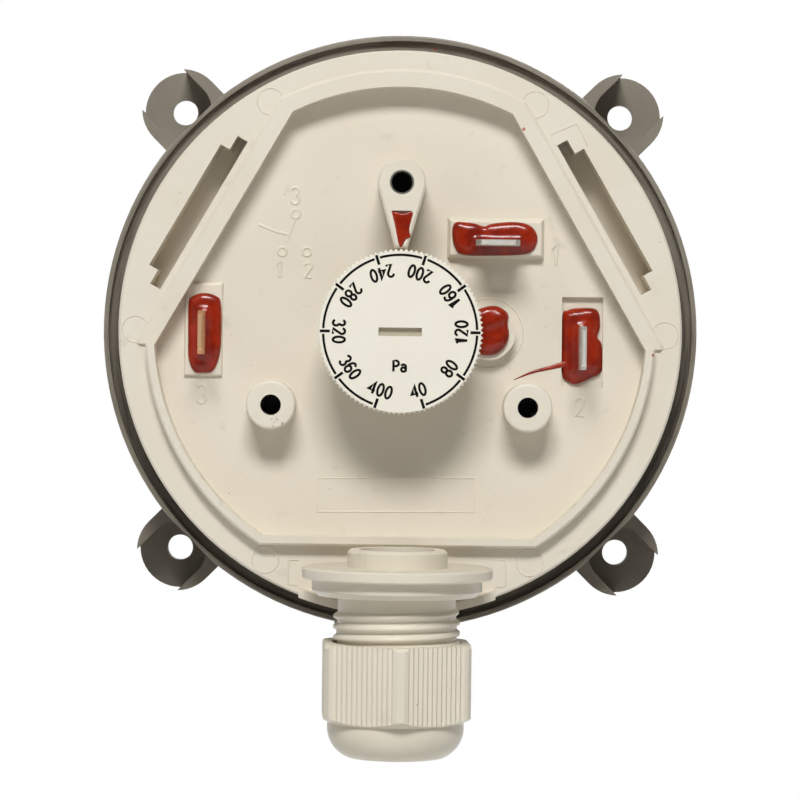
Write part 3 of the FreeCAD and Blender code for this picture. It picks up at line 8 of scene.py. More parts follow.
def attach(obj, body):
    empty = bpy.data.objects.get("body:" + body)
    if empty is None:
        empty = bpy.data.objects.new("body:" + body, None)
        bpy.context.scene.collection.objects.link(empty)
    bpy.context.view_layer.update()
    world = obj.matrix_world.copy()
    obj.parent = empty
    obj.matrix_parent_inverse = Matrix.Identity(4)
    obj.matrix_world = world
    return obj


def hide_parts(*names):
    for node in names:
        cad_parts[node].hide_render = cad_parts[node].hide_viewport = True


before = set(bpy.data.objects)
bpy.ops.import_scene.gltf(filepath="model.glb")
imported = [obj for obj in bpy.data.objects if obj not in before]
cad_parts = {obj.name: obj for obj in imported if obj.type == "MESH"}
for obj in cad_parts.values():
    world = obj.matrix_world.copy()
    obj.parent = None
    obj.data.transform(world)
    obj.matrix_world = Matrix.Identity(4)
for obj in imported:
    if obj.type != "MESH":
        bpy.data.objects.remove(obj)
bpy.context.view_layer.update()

# A differential pressure switch for air, seen from the front with its cover off. Metres. X runs right,
# Z up, and the front faces -Y. The origin is on the wall plane, in the middle of the wall lugs.
# A "depth" is the distance in front of the wall, so depth = -Y.
MM = 0.001

# The photograph: its size, and where the switch's axis and the lens's axis meet it
PHOTO_PIXELS = 800
AXIS_PIXEL = (400.2, 332.6)
LENS_PIXEL = (400.2, 345.0)
PIXELS_PER_MM = 6.61
CAMERA_DISTANCE = 520 * MM
ROLL = math.radians(-0.7)
SENSOR_WIDTH = 36.0

# Radii and depths of the base's rim and the switch body's surfaces
BASE_RADIUS = 43.4 * MM
RIM_INNER = 41.2 * MM
RIM_FRONT = 17.0 * MM
RIM_LIP = 0.75 * MM
FLOOR = 17.0 * MM
LEDGE = 20.0 * MM
BLOCK_1_TOP = 18.5 * MM
POCKET_2_FLOOR = 16.1 * MM
BLOCK_3_TOP = 17.6 * MM
CALIBRATION_TOP = 19.0 * MM

# The lacquer in the pointer starts just under the pointer's front, and painted shade darkens the screw
# holes between these two depths
POINTER_LACQUER_FROM = 26.88 * MM
HOLE_SHADE_FROM = 22.5 * MM
HOLE_SHADE_TO = 20.5 * MM

# Spots seen from the front: x, z and radius in millimetres, and the strength of the colour
SCREW_HOLES = ((-18.62, -10.75, 1.9), (18.62, -10.75, 1.9), (0, 21.5, 1.9))
BODY_SMEARS = ((17.6, 29.7, 0.3, 1.0), (36.7, -2.9, 0.26, 1.0), (19.3, -35.4, 0.24, 0.3))
RIM_SMEAR = (4.6, 41.6, 0.3)
NICKED_EDGE = (-17.8, -13.2, 1.2)

# The dial's face and coin slot, and the tabs' front end
DIAL_FACE = 29.05 * MM
COIN_SLOT_FLOOR = 28.35 * MM
COIN_SLOT_REACH = 3.3 * MM
TAB_FRONT = 26.0 * MM
TAB_END = 6.0 * MM

# Raised lines start this far under the surface that they stand on, their flat top is this share of
# their width, and at a sharp corner they get at most 1 / SHARPEST_MITRE times as wide
LINE_SINK = 0.03 * MM
LINE_TOP_SHARE = 0.3
SHARPEST_MITRE = 0.5

# Raised signs on the floor of the wiring well: numbers with their x, z and height, the contact
# diagram's circles and lines, and an outline. Places without MM are in millimetres.
SIGN_HEIGHT = 0.15 * MM
SIGN_STROKE = 0.56 * MM
SIGN_RING = 0.62 * MM
SIGN_NUMBERS = (
    ("1", 22.6, 11.5, 3.2), ("2", 26.4, -10.6, 3.1), ("3", -29.0, -9.4, 3.1),
    ("3", -15.6, 19.8, 2.8), ("1", -17.8, 8.9, 2.5), ("2", -13.6, 8.9, 2.5))
SIGN_CIRCLES = ((-15.5, 17.1), (-17.4, 11.6), (-13.8, 11.6))
SIGN_LINES = (
    ((-15.6, 16.3), (-16.8, 13.0)),
    ((-16.5, 14.1), (-18.4, 14.5), (-20.9, 15.5)))
FRAME_CORNERS = ((-11.8, -26.4), (11.2, -26.2), (11.2, -21.2), (-11.8, -21.5))
FRAME_STROKE = 0.24 * MM
FRAME_HEIGHT = 0.1 * MM

# Fainter marks: round the calibration boss, over each screw, and outlines on the ledge
MARK_HEIGHT = 0.11 * MM
MARK_STROKE = 0.26 * MM
WITNESS_CIRCLE = 38.5 * MM
WITNESS_RADIUS = 1.93 * MM
SCREW_COUNT = 6
CALIBRATION_X = 12.9 * MM
CALIBRATION_RING = 5.1 * MM
LEDGE_LINES = (
    ((21.6, 29.0), (25.3, 30.7), (27.0, 27.4)),
    ((-14.3, -33.3), (-15.85, -33.3), (-15.85, -36.9), (-14.3, -37.0)),
    ((14.2, -33.0), (15.8, -33.0), (15.8, -36.8), (14.2, -36.9)))

# The dial's print: a ring line broken at ten ticks, their numbers inside it, and the unit
PRINT_HEIGHT = 0.02 * MM
PRINT_TOP_SHARE = 0.95
ARC_RADIUS = 11.0 * MM
ARC_STROKE = 0.36 * MM
ARC_GAP = 0.4 * MM
TICK_INNER = 10.05 * MM
TICK_OUTER = 11.48 * MM
TICK_STROKE = 0.42 * MM
TICK_FIRST = -72
TICK_STEP = 36
SCALE_NUMBERS = ("40", "80", "120", "160", "200", "240", "280", "320", "360", "400")
NUMERAL_RADIUS = 8.75 * MM
NUMERAL_HEIGHT = 2.0 * MM
NUMERAL_STROKE = 0.36 * MM
UNIT_HEIGHT = 1.8 * MM
UNIT_Z = -4.9 * MM

# Letters are drawn with strokes: half the width and height of their middle lines, and the step
# from one letter to the next, as shares of the letter's height
LETTER_HALF_WIDTH = 0.2
LETTER_HALF_HEIGHT = 0.43
LETTER_SPACING = 0.6

# The gland's thread, and the seam that its mould left on the neck. The ridge's foot and crest
# reach this share of the pitch up and down, and it grows in over this share of its first turn.
GLAND_AXIS_DEPTH = 32.3 * MM
NECK_TOP = -37.4 * MM
NECK_END = -51.0 * MM
THREAD_ROOT = 8.4 * MM
THREAD_CREST = 9.0 * MM
THREAD_PITCH = 1.5 * MM
THREAD_TOP = -39.25 * MM
THREAD_TURNS = 7.3
THREAD_STEPS = 72
THREAD_FOOT = 0.44
THREAD_TIP = 0.14
THREAD_SINK = 0.1 * MM
THREAD_GROWS_IN = 0.35
SEAM_X = -0.5 * MM
SEAM_STROKE = 0.2 * MM
SEAM_HEIGHT = 0.05 * MM

# How the lacquer stands up, in millimetres: the rings of a drop as shares of the way out, its
# rounded edge, its ripples, how it climbs a terminal, how far below it starts, how near two of its
# points may come before they are one, and the thin run beside terminal 2
DROP_RINGS = (1.0, 0.985, 0.95, 0.88, 0.78, 0.65, 0.5, 0.34, 0.17, 0.0)
DROP_EDGE_POWER = 5
DROP_RIPPLE = 0.13
DROP_RIPPLE_PER_MM = 0.55
DROP_CLIMB = 0.45
DROP_BELOW = 0.05
DROP_MERGE = 0.004 * MM
RUN_BELOW = 0.03
RUN_SIDES = 6
RUN_FULL_WIDTH = 0.5

# Lamps and surround: the key lamp gives most of the light on the front
LAMP_TARGET = (0, -0.01, 0)
KEY_PLACE = (-0.04, -0.75, 0.69)
KEY_SIZE = (0.42, 0.22)
KEY_POWER = 8.8
LEFT_FILL_PLACE = (-0.95, -0.75, 0.1)
LEFT_FILL_POWER = 1.1
RIGHT_FILL_PLACE = (0.95, -0.75, 0.1)
RIGHT_FILL_POWER = 0.7
FILL_SIZE = (1.0, 1.0)
BACK_FILL_PLACE = (0.35, 0.75, 0.5)
BACK_FILL_POWER = 4.0
SURROUND_STRENGTH = 0.075
SHINE_BEHIND = 0.75
SHINE_IN_FRONT = 0.08

# Pale floor and backdrop: it goes from its shadowed tone to white from SHADOW_REACH on
STAGE_FLOOR = -300 * MM
STAGE_BACK = 900 * MM
STAGE_HALF = 2200 * MM
STAGE_BEND = 250 * MM
STAGE_BEND_STEPS = 12
PAPER_CLOUDS = 400 * MM
FLOOR_GLOW = 0.82
SHADOW_REACH = 400 * MM


def paint(red, green, blue):
    """A colour from its 0 to 255 values, as the shaders take it."""
    linear = []
    for value in (red / 255, green / 255, blue / 255):
        linear.append(value / 12.92 if value <= 0.04045 else ((value + 0.055) / 1.055) ** 2.4)
    return (*linear, 1.0)


IVORY = paint(228, 220, 204)
IVORY_WARM = paint(222, 212, 192)
GLAND_IVORY = paint(228, 220, 202)
GREY_DUSTY = paint(143, 135, 122)
# The next three greys also stand for light: painted shade below, a painted highlight on the lip's edge
# with real scuffs, and painted shadow in the rebate with streaks
GREY_MOTTLE_AND_SHADE = paint(106, 98, 85)
GREY_WORN_AND_HIGHLIGHT = paint(176, 168, 152)
GREY_SHADOW_AND_STREAKS = paint(66, 59, 49)
DIAL_WHITE = paint(241, 236, 222)
DIAL_CREAM = paint(234, 226, 207)
PRINT_BLACK = paint(20, 17, 13)
PRINT_WORN = paint(74, 68, 60)
LACQUER_RED = paint(152, 37, 7)
LACQUER_DEEP = paint(122, 24, 5)
LACQUER_SMEAR = paint(176, 74, 48)
TIN = paint(206, 203, 196)
# The next colour is a painted highlight for the tinned tabs' front ends
TIN_FRONT_HIGHLIGHT = paint(246, 243, 236)
TIN_DULL = paint(150, 140, 124)
COPPERY = paint(214, 160, 120)
# The next colour is a painted highlight for the coppery tab's front end
COPPERY_FRONT_HIGHLIGHT = paint(240, 196, 156)
COPPERY_DULL = paint(176, 112, 72)
SLOT_TAN = paint(190, 181, 160)
GRIME = paint(126, 110, 88)
# The next colour is painted shade inside the screw holes
HOLE_PAINTED_SHADE = paint(34, 29, 24)
BUSH_STEEL = paint(158, 155, 148)
BUSH_STEEL_DULL = paint(74, 71, 66)
ZINC = paint(188, 190, 192)
ZINC_DULL = paint(140, 138, 130)
BRASS = paint(206, 170, 96)
BRASS_DULL = paint(150, 116, 60)
ALUMINIUM = paint(206, 208, 210)
ALUMINIUM_DULL = paint(160, 160, 158)
SPRING_STEEL = paint(186, 184, 180)
SPRING_STEEL_DULL = paint(120, 112, 100)
BRONZE = paint(200, 150, 104)
BRONZE_DULL = paint(140, 96, 64)
SILVER = paint(222, 222, 220)
SILVER_DULL = paint(150, 148, 144)
SILICONE = paint(196, 190, 178)
SILICONE_DUSTY = paint(214, 210, 200)
RUBBER = paint(32, 31, 30)
RUBBER_DUSTY = paint(92, 88, 82)
CLAW_IVORY = paint(206, 202, 192)
CLAW_DUSTY = paint(180, 174, 160)
WHITE = paint(255, 255, 255)
PAPER = paint(244, 244, 243)
PAPER_SHADE = paint(238, 238, 237)

# A metal's grain: even, or in streaks along the axis whose number is small
GRAIN_EVEN = (1.0, 1.0, 1.0)
GRAIN_OF_TABS = (1.0, 0.05, 1.0)
GRAIN_OF_BUSH = (1.0, 0.1, 1.0)
GRAIN_OF_BLADE = (0.08, 1.0, 1.0)


class Wire:
    """A socket of a shader; arithmetic on it adds Math nodes."""

    def __init__(self, nodes, socket):
        self.nodes = nodes
        self.socket = socket

    def math(self, operation, *values):
        return self.nodes.node("ShaderNodeMath", {"operation": operation}, dict(enumerate(values)))

    def __add__(self, other):
        return self.math("ADD", self, other)

    __radd__ = __add__

    def __sub__(self, other):
        return self.math("SUBTRACT", self, other)

    def __rsub__(self, other):
        return self.math("SUBTRACT", other, self)

    def __mul__(self, other):
        return self.math("MULTIPLY", self, other)

    __rmul__ = __mul__

    def root(self):
        return self.math("SQRT", self)

    def most(self, other):
        return self.math("MAXIMUM", self, other)

    def step(self, low, high):
        """0 below low, 1 above high and smooth between; with low above high it falls."""
        inputs = {"Value": self, "From Min": low, "From Max": high, "To Min": 0.0, "To Max": 1.0}
        return self.nodes.node("ShaderNodeMapRange", {"interpolation_type": "SMOOTHSTEP"}, inputs)


class Nodes:
    """A node tree that is filled from expressions."""

    def __init__(self, tree):
        self.tree = tree
        tree.nodes.clear()

    def node(self, kind, settings=None, inputs=None, output=0):
        """Adds any node: its settings first, then the values or links of its inputs."""
        node = self.tree.nodes.new(kind)
        for key, value in (settings or {}).items():
            setattr(node, key, value)
        for key, value in (inputs or {}).items():
            self.join(node.inputs[key], value)
        return Wire(self, node.outputs[output]) if node.outputs else node

    def join(self, socket, value):
        if isinstance(value, Wire):
            self.tree.links.new(value.socket, socket)
        else:
            socket.default_value = value


class Finish(Nodes):
    """A material: one Principled shader, and the nodes that feed it."""

    def __init__(self, name, **constants):
        self.material = bpy.data.materials.new(name)
        self.material.use_nodes = True
        super().__init__(self.material.node_tree)
        self.shader = self.tree.nodes.new("ShaderNodeBsdfPrincipled")
        self.output = self.tree.nodes.new("ShaderNodeOutputMaterial")
        self.tree.links.new(self.shader.outputs[0], self.output.inputs[0])
        for socket, value in constants.items():
            self.shader.inputs[socket.replace("_", " ")].default_value = value

    def feed(self, socket, value):
        self.join(self.shader.inputs[socket], value)

    def place(self):
        """The point's place in the row frame, in metres."""
        return self.node("ShaderNodeTexCoord", output="Object")

    def axes(self):
        """The point's x, y and z, each as a Wire."""
        vector = self.place()
        return [self.node("ShaderNodeSeparateXYZ", inputs={0: vector}, output=k) for k in range(3)]

    def round_place(self):
        """The point's place with the way round the switch's axis rolled out flat, from the top."""
        x, y, z = self.axes()
        way_round = self.node("ShaderNodeMath", {"operation": "ARCTAN2"}, {0: x, 1: z}) * BASE_RADIUS
        return self.node("ShaderNodeCombineXYZ", inputs={0: way_round, 1: (x * x + z * z).root(), 2: y})

    def noise(self, size, detail=3.0, rough=0.55, stretch=(1.0, 1.0, 1.0), place=None):
        """Noise between 0 and 1 with lumps of about one size."""
        place = self.node("ShaderNodeVectorMath", {"operation": "MULTIPLY"},
                          {0: place or self.place(), 1: stretch})
        inputs = {"Vector": place, "Scale": 1 / size, "Detail": detail, "Roughness": rough}
        return self.node("ShaderNodeTexNoise", inputs=inputs)

    def specks(self, spacing, size):
        """Sparse round specks, 1 inside a speck."""
        inputs = {"Vector": self.place(), "Scale": 1 / spacing}
        distance = self.node("ShaderNodeTexVoronoi", {"feature": "F1"}, inputs)
        return distance.step(size / spacing, size / spacing * 0.5)

    def mix(self, factor, first, second):
        """A colour between two colours, by the Mix node's colour sockets."""
        inputs = {0: factor, 6: first, 7: second}
        return self.node("ShaderNodeMix", {"data_type": "RGBA"}, inputs, output=2)

    def bump(self, height, depth):
        """Makes the surface look raised by a height between 0 and 1, times a depth in metres."""
        inputs = {"Strength": 1.0, "Distance": depth, "Height": height}
        self.feed("Normal", self.node("ShaderNodeBump", inputs=inputs))

    def near(self, x, z, radius):
        """1 within a radius of a place as seen from the front, with a ragged edge."""
        px, _, pz = self.axes()
        dx = px - x * MM
        dz = pz - z * MM
        distance = (dx * dx + dz * dz).root() + (self.noise(0.5 * MM) - 0.5) * radius * MM
        return distance.step(radius * MM, radius * MM * 0.7)


def moulded_ivory(name, colour, roughness):
    """Light moulded plastic: faint clouding, fine grain, a few dark specks and soft grime."""
    finish = Finish(name, Specular_IOR_Level=0.42)
    cloud = finish.noise(16 * MM, 4.0)
    grain = finish.noise(0.35 * MM, 2.0)
    speck = finish.specks(3.1 * MM, 0.13 * MM) * finish.noise(5 * MM).step(0.48, 0.56)
    tint = finish.mix(cloud.step(0.35, 0.75) * 0.5, colour, IVORY_WARM)
    handled = finish.noise(3.0 * MM, 5.0).step(0.62, 0.78) * 0.14
    tint = finish.mix(handled, tint, GRIME)
    tint = finish.mix(speck * 0.75, tint, GRIME)
    finish.feed("Roughness", roughness + (grain - 0.5) * 0.1 + (cloud - 0.5) * 0.12)
    finish.bump(grain * 0.5 + finish.noise(1.6 * MM, 3.0), 0.012 * MM)
    return finish, tint


def body_plastic():
    """The switch body's plastic, with smears of the red lacquer, a nicked post and painted shade in its
    deep screw holes.
    """
    finish, tint = moulded_ivory("body_plastic", IVORY, 0.44)
    nicks = finish.near(*NICKED_EDGE) * finish.noise(0.45 * MM, 4.0, 0.65).step(0.55, 0.62)
    tint = finish.mix(nicks * 0.75, tint, GRIME)
    # Painted shade: the screw holes are darkened inside, where little light reaches
    inside = finish.axes()[1].step(-HOLE_SHADE_FROM, -HOLE_SHADE_TO)
    for hole in SCREW_HOLES:
        tint = finish.mix(finish.near(*hole) * inside, tint, HOLE_PAINTED_SHADE)
    for x, z, radius, strength in BODY_SMEARS:
        tint = finish.mix(finish.near(x, z, radius) * strength * 0.8, tint, LACQUER_SMEAR)
    finish.feed("Base Color", tint)
    return finish.material


def gland_plastic():
    """The same kind of plastic in the gland, a little glossier."""
    finish, tint = moulded_ivory("gland_plastic", GLAND_IVORY, 0.34)
    finish.feed("Base Color", tint)
    return finish.material


def base_plastic():
    """The base's grey plastic, streaked round its rim, with painted shade that darkens it towards the
    bottom and in the rim's rebate, and a painted highlight along its lip's outer edge.
    """
    finish = Finish("base_plastic", Specular_IOR_Level=0.35)
    x, y, z = finish.axes()
    radius = (x * x + z * z).root()
    cloud = finish.noise(9 * MM, 5.0)
    grain = finish.noise(0.3 * MM, 2.0)
    streaks = finish.noise(1.1 * MM, 5.0, 0.65, (0.1, 2.2, 1.0), finish.round_place())
    front = y.step(2 * MM - RIM_FRONT, 1.5 * MM - RIM_FRONT)
    rim = radius.step(RIM_INNER - 0.1 * MM, RIM_INNER + 0.1 * MM) * front
    # A painted highlight along the lip's rounded outer edge, broken up by the streaks
    edge = radius.step(BASE_RADIUS - 0.34 * MM, BASE_RADIUS - 0.14 * MM) * rim
    edge_highlight = edge * streaks.step(0.4, 0.62)
    # Painted shade: the grey darkens towards the bottom, where the body shades the lower lugs and rim,
    # on top of its random mottling
    low = z.step(30 * MM, -30 * MM)
    tint = finish.mix(cloud.step(0.3, 0.7) * 0.3 + low * 0.55, GREY_DUSTY, GREY_MOTTLE_AND_SHADE)
    # Painted shadow in the rim's recessed rebate, deeper towards the bottom, plus darker streaks round
    # the rim
    rebate = rim * radius.step(BASE_RADIUS - RIM_LIP + 0.1 * MM, BASE_RADIUS - RIM_LIP - 0.1 * MM)
    rebate_shade_and_streaks = rebate * (0.3 + 0.4 * low) + rim * streaks.step(0.46, 0.62) * 0.4
    tint = finish.mix(rebate_shade_and_streaks, tint, GREY_SHADOW_AND_STREAKS)
    scuffs = finish.noise(1.1 * MM, 6.0, 0.7, (1.0, 0.3, 1.0)).step(0.66, 0.76) * 0.25
    # The painted edge highlight and the real scuffs both lighten the grey
    tint = finish.mix(edge_highlight.most(scuffs) * 0.6, tint, GREY_WORN_AND_HIGHLIGHT)
    finish.feed("Base Color", finish.mix(finish.near(*RIM_SMEAR) * 0.7, tint, LACQUER_SMEAR))
    finish.feed("Roughness", 0.52 + (grain - 0.5) * 0.16 - edge_highlight * 0.1)
    finish.bump(grain * 0.6 + cloud + streaks * rim, 0.02 * MM)
    return finish.material


def dial_plastic():
    """The dial's glossy warm white plastic, with the slot's bare tan floor."""
    finish = Finish("dial_plastic", Specular_IOR_Level=0.4, Coat_Roughness=0.15)
    x, y, z = finish.axes()
    cloud = finish.noise(6 * MM, 4.0)
    dust = finish.noise(0.5 * MM, 5.0).step(0.68, 0.78) * 0.1
    sunk = y.step(-DIAL_FACE + 0.3 * MM, -COIN_SLOT_FLOOR)
    slot = sunk * (x * x + z * z).root().step(COIN_SLOT_REACH + 0.2 * MM, COIN_SLOT_REACH)
    tint = finish.mix(cloud.step(0.4, 0.8) * 0.35, DIAL_WHITE, DIAL_CREAM)
    tint = finish.mix(dust, tint, GRIME)
    finish.feed("Base Color", finish.mix(slot, tint, SLOT_TAN))
    finish.feed("Roughness", 0.34 + (cloud - 0.5) * 0.12 + dust)
    finish.feed("Coat Weight", 0.15 - dust)
    finish.bump(finish.noise(0.4 * MM, 3.0), 0.006 * MM)
    return finish.material


def dial_print():
    """Black ink with slightly uneven cover."""
    finish = Finish("dial_print", Specular_IOR_Level=0.12)
    worn = finish.noise(0.25 * MM, 5.0, 0.7)
    finish.feed("Base Color", finish.mix(worn.step(0.6, 0.85) * 0.35, PRINT_BLACK, PRINT_WORN))
    finish.feed("Roughness", 0.42 + (worn - 0.5) * 0.2)
    return finish.material


def sealing_lacquer():
    """Thick brick red lacquer: darker where it is deep, with a soft gloss."""
    finish = Finish("sealing_lacquer", Specular_IOR_Level=0.28, Coat_Roughness=0.14)
    pools = finish.noise(2.6 * MM, 2.0, 0.5)
    streaks = finish.noise(0.9 * MM, 4.0, 0.6, (1.0, 1.0, 0.4))
    finish.feed("Base Color", finish.mix(pools.step(0.35, 0.7), LACQUER_RED, LACQUER_DEEP))
    finish.feed("Roughness", 0.24 + (streaks - 0.5) * 0.1)
    finish.feed("Coat Weight", 0.22 + (pools - 0.5) * 0.15)
    finish.bump(pools, 0.05 * MM)
    return finish.material


def metal(name, colour, dull, roughness, grain=GRAIN_EVEN, tarnish=0.5, dents=0.006, front_highlight=None):
    """A bare metal: its grain, tarnish in patches, small dents, and for a tab a painted highlight on its
    front end.
    """
    finish = Finish(name, Metallic=1.0)
    lines = finish.noise(0.12 * MM, 3.0, 0.6, grain)
    patches = finish.noise(1.6 * MM, 3.0, 0.55)
    tint = finish.mix(patches.step(0.45, 0.65) * tarnish, colour, dull)
    if front_highlight:
        # Painted highlight: the tab's front end is lightened as if it caught the light
        front_end = finish.axes()[1].step(0.3 * MM - TAB_FRONT, 0.1 * MM - TAB_FRONT)
        tint = finish.mix(front_end * 0.8, tint, front_highlight)
    finish.feed("Base Color", tint)
    finish.feed("Roughness", roughness + (lines - 0.5) * 0.2 + patches.step(0.45, 0.75) * 0.12)
    finish.bump(lines * 0.2 + patches, dents * MM)
    return finish.material


def soft_part(name, colour, dusty, roughness):
    """Rubber or silicone: matt, with dust in its texture."""
    finish = Finish(name, Specular_IOR_Level=0.35)
    dust = finish.noise(1.2 * MM, 5.0, 0.65).step(0.5, 0.8)
    grain = finish.noise(0.3 * MM, 2.0)
    finish.feed("Base Color", finish.mix(dust * 0.4, colour, dusty))
    finish.feed("Roughness", roughness + (grain - 0.5) * 0.15)
    finish.bump(grain, 0.01 * MM)
    return finish.material


def place_camera():
    """The camera looks straight at the wall, with a long lens, as in the photograph."""
    focal_pixels = PIXELS_PER_MM / MM * CAMERA_DISTANCE
    data = bpy.data.cameras.new("photo_camera")
    data.sensor_width = SENSOR_WIDTH
    data.lens = SENSOR_WIDTH * focal_pixels / PHOTO_PIXELS
    data.shift_y = (LENS_PIXEL[1] - PHOTO_PIXELS / 2) / PHOTO_PIXELS
    data.clip_start = 0.01
    data.clip_end = 20.0
    camera = bpy.data.objects.new("photo_camera", data)
    bpy.context.scene.collection.objects.link(camera)
    right = (LENS_PIXEL[0] - AXIS_PIXEL[0]) / PIXELS_PER_MM * MM
    down = (LENS_PIXEL[1] - AXIS_PIXEL[1]) / PIXELS_PER_MM * MM
    camera.matrix_world = (Matrix.Translation((right, -CAMERA_DISTANCE, -down))
                           @ Matrix.Rotation(ROLL, 4, "Y") @ Matrix.Rotation(math.radians(90), 4, "X"))
    bpy.context.scene.camera = camera


def place_lamp(name, position, size, power):
    """A soft oblong lamp that points at the switch."""
    data = bpy.data.lights.new(name, "AREA")
    data.shape = "RECTANGLE"
    data.size, data.size_y = size
    data.energy = power
    lamp = bpy.data.objects.new(name, data)
    bpy.context.scene.collection.objects.link(lamp)
    lamp.visible_camera = False
    lamp.location = position
    lamp.rotation_euler = (Vector(LAMP_TARGET) - Vector(position)).to_track_quat("-Z", "Y").to_euler()


def light_the_scene():
    """A key lamp above, weak fills, and a surround that shines white behind the switch only."""
    world = bpy.data.worlds.new("surround")
    bpy.context.scene.world = world
    world.use_nodes = True
    sky = Nodes(world.node_tree)
    direction = sky.node("ShaderNodeTexCoord", output="Generated")
    behind = sky.node("ShaderNodeSeparateXYZ", inputs={0: direction}, output="Y").step(-0.3, 0.3)
    camera_ray = sky.node("ShaderNodeLightPath", output="Is Camera Ray")
    glossy_ray = sky.node("ShaderNodeLightPath", output="Is Glossy Ray")
    mirrored = glossy_ray * (SHINE_IN_FRONT + (SHINE_BEHIND - SHINE_IN_FRONT) * behind)
    strength = camera_ray.most(mirrored).most((1 - glossy_ray) * SURROUND_STRENGTH)
    background = sky.node("ShaderNodeBackground", inputs={"Color": WHITE, "Strength": strength})
    sky.node("ShaderNodeOutputWorld", inputs={0: background})
    place_lamp("key_lamp", KEY_PLACE, KEY_SIZE, KEY_POWER)
    place_lamp("left_fill", LEFT_FILL_PLACE, FILL_SIZE, LEFT_FILL_POWER)
    place_lamp("right_fill", RIGHT_FILL_PLACE, FILL_SIZE, RIGHT_FILL_POWER)
    place_lamp("back_fill", BACK_FILL_PLACE, KEY_SIZE, BACK_FILL_POWER)


def make_stage():
    """A pale floor that bends up into a backdrop: shadowed near the switch, white further off."""
    profile = [(-STAGE_HALF, STAGE_FLOOR), (STAGE_BACK - STAGE_BEND, STAGE_FLOOR)]
    for k in range(1, STAGE_BEND_STEPS + 1):
        angle = math.radians(90 * k / STAGE_BEND_STEPS)
        profile.append((STAGE_BACK - STAGE_BEND + STAGE_BEND * math.sin(angle),
                        STAGE_FLOOR + STAGE_BEND * (1 - math.cos(angle))))
    profile.append((STAGE_BACK, STAGE_HALF))
    mesh = bpy.data.meshes.new("floor_and_backdrop")
    vertices = [(side * STAGE_HALF, y, z) for y, z in profile for side in (-1, 1)]
    faces = [(2 * k, 2 * k + 1, 2 * k + 3, 2 * k + 2) for k in range(len(profile) - 1)]
    mesh.from_pydata(vertices, [], faces)
    mesh.polygons.foreach_set("use_smooth", [True] * len(faces))
    stage = bpy.data.objects.new("floor_and_backdrop", mesh)
    bpy.context.scene.collection.objects.link(stage)
    finish = Finish("pale_paper", Roughness=0.9)
    finish.feed("Base Color", finish.mix(finish.noise(PAPER_CLOUDS), PAPER, PAPER_SHADE))
    glow = finish.node("ShaderNodeEmission", inputs={"Color": WHITE, "Strength": 1.0})
    camera_ray = finish.node("ShaderNodeLightPath", output="Is Camera Ray")
    glossy_ray = finish.node("ShaderNodeLightPath", output="Is Glossy Ray")
    x, y, z = finish.axes()
    far = (x * x + y * y).root().step(SHADOW_REACH, STAGE_BACK)
    seen = camera_ray.most(glossy_ray) * (FLOOR_GLOW + (1 - FLOOR_GLOW) * far)
    paper = Wire(finish, finish.shader.outputs[0])
    surface = finish.node("ShaderNodeMixShader", inputs={0: seen, 1: paper, 2: glow})
    finish.join(finish.output.inputs[0], surface)
    mesh.materials.append(finish.material)


def add_piece(name, build, body, material, smooth=True):
    """Makes a piece from a function that fills a bmesh, and lets it ride on a body."""
    work = bmesh.new()
    build(work)
    bmesh.ops.recalc_face_normals(work, faces=work.faces)
    mesh = bpy.data.meshes.new(name)
    work.to_mesh(mesh)
    work.free()
    mesh.polygons.foreach_set("use_smooth", [smooth] * len(mesh.polygons))
    mesh.materials.append(material)
    piece = bpy.data.objects.new(name, mesh)
    bpy.context.scene.collection.objects.link(piece)
    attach(piece, body)
    return piece


def arc_points(radius, start, end, x=0.0, z=0.0, step=3.0):
    """Points along an arc, as x and z, from one angle to another in degrees."""
    count = max(2, math.ceil(abs(end - start) / step))
    points = []
    for k in range(count + 1):
        angle = math.radians(start + (end - start) * k / count)
        points.append((x + radius * math.cos(angle), z + radius * math.sin(angle)))
    return points


def join_rows(work, rows, loops=False):
    """Faces between each row of points and the next; with loops, each row closes on itself."""
    for first, second in zip(rows, rows[1:]):
        count = len(first)
        for k in range(count if loops else count - 1):
            after = (k + 1) % count
            work.faces.new((first[k], first[after], second[after], second[k]))


def raised_line(work, points, stroke, depth, height, closed=False, top_share=LINE_TOP_SHARE):
    """A low ridge along a line on a flat surface, with sloped sides and mitred corners."""
    count = len(points)
    rows = []
    for k, (x, z) in enumerate(points):
        before = points[k - 1] if closed or k else points[k]
        after = points[(k + 1) % count] if closed or k < count - 1 else points[k]
        along = Vector((after[0] - before[0], after[1] - before[1])).normalized()
        across = Vector((-along.y, along.x))
        if 0 < k < count - 1 or closed:
            first = Vector((x - before[0], z - before[1])).normalized()
            across /= max(SHARPEST_MITRE, across.dot(Vector((-first.y, first.x))))
        row = []
        for share, rise in ((-0.5, -LINE_SINK), (-0.5 * top_share, height),
                            (0.5 * top_share, height), (0.5, -LINE_SINK)):
            place = Vector((x, z)) + across * stroke * share
            row.append(work.verts.new((place.x, -depth - rise, place.y)))
        rows.append(row)
    if closed:
        rows.append(rows[0])
    else:
        work.faces.new(rows[0])
        work.faces.new(rows[-1])
    join_rows(work, rows)


def oval(x, z, half_x, half_z, start=0, end=348):
    """Points round an oval, or part of one, from one angle to another in degrees."""
    return [(x + half_x * px, z + half_z * pz) for px, pz in arc_points(1.0, start, end, step=12)]


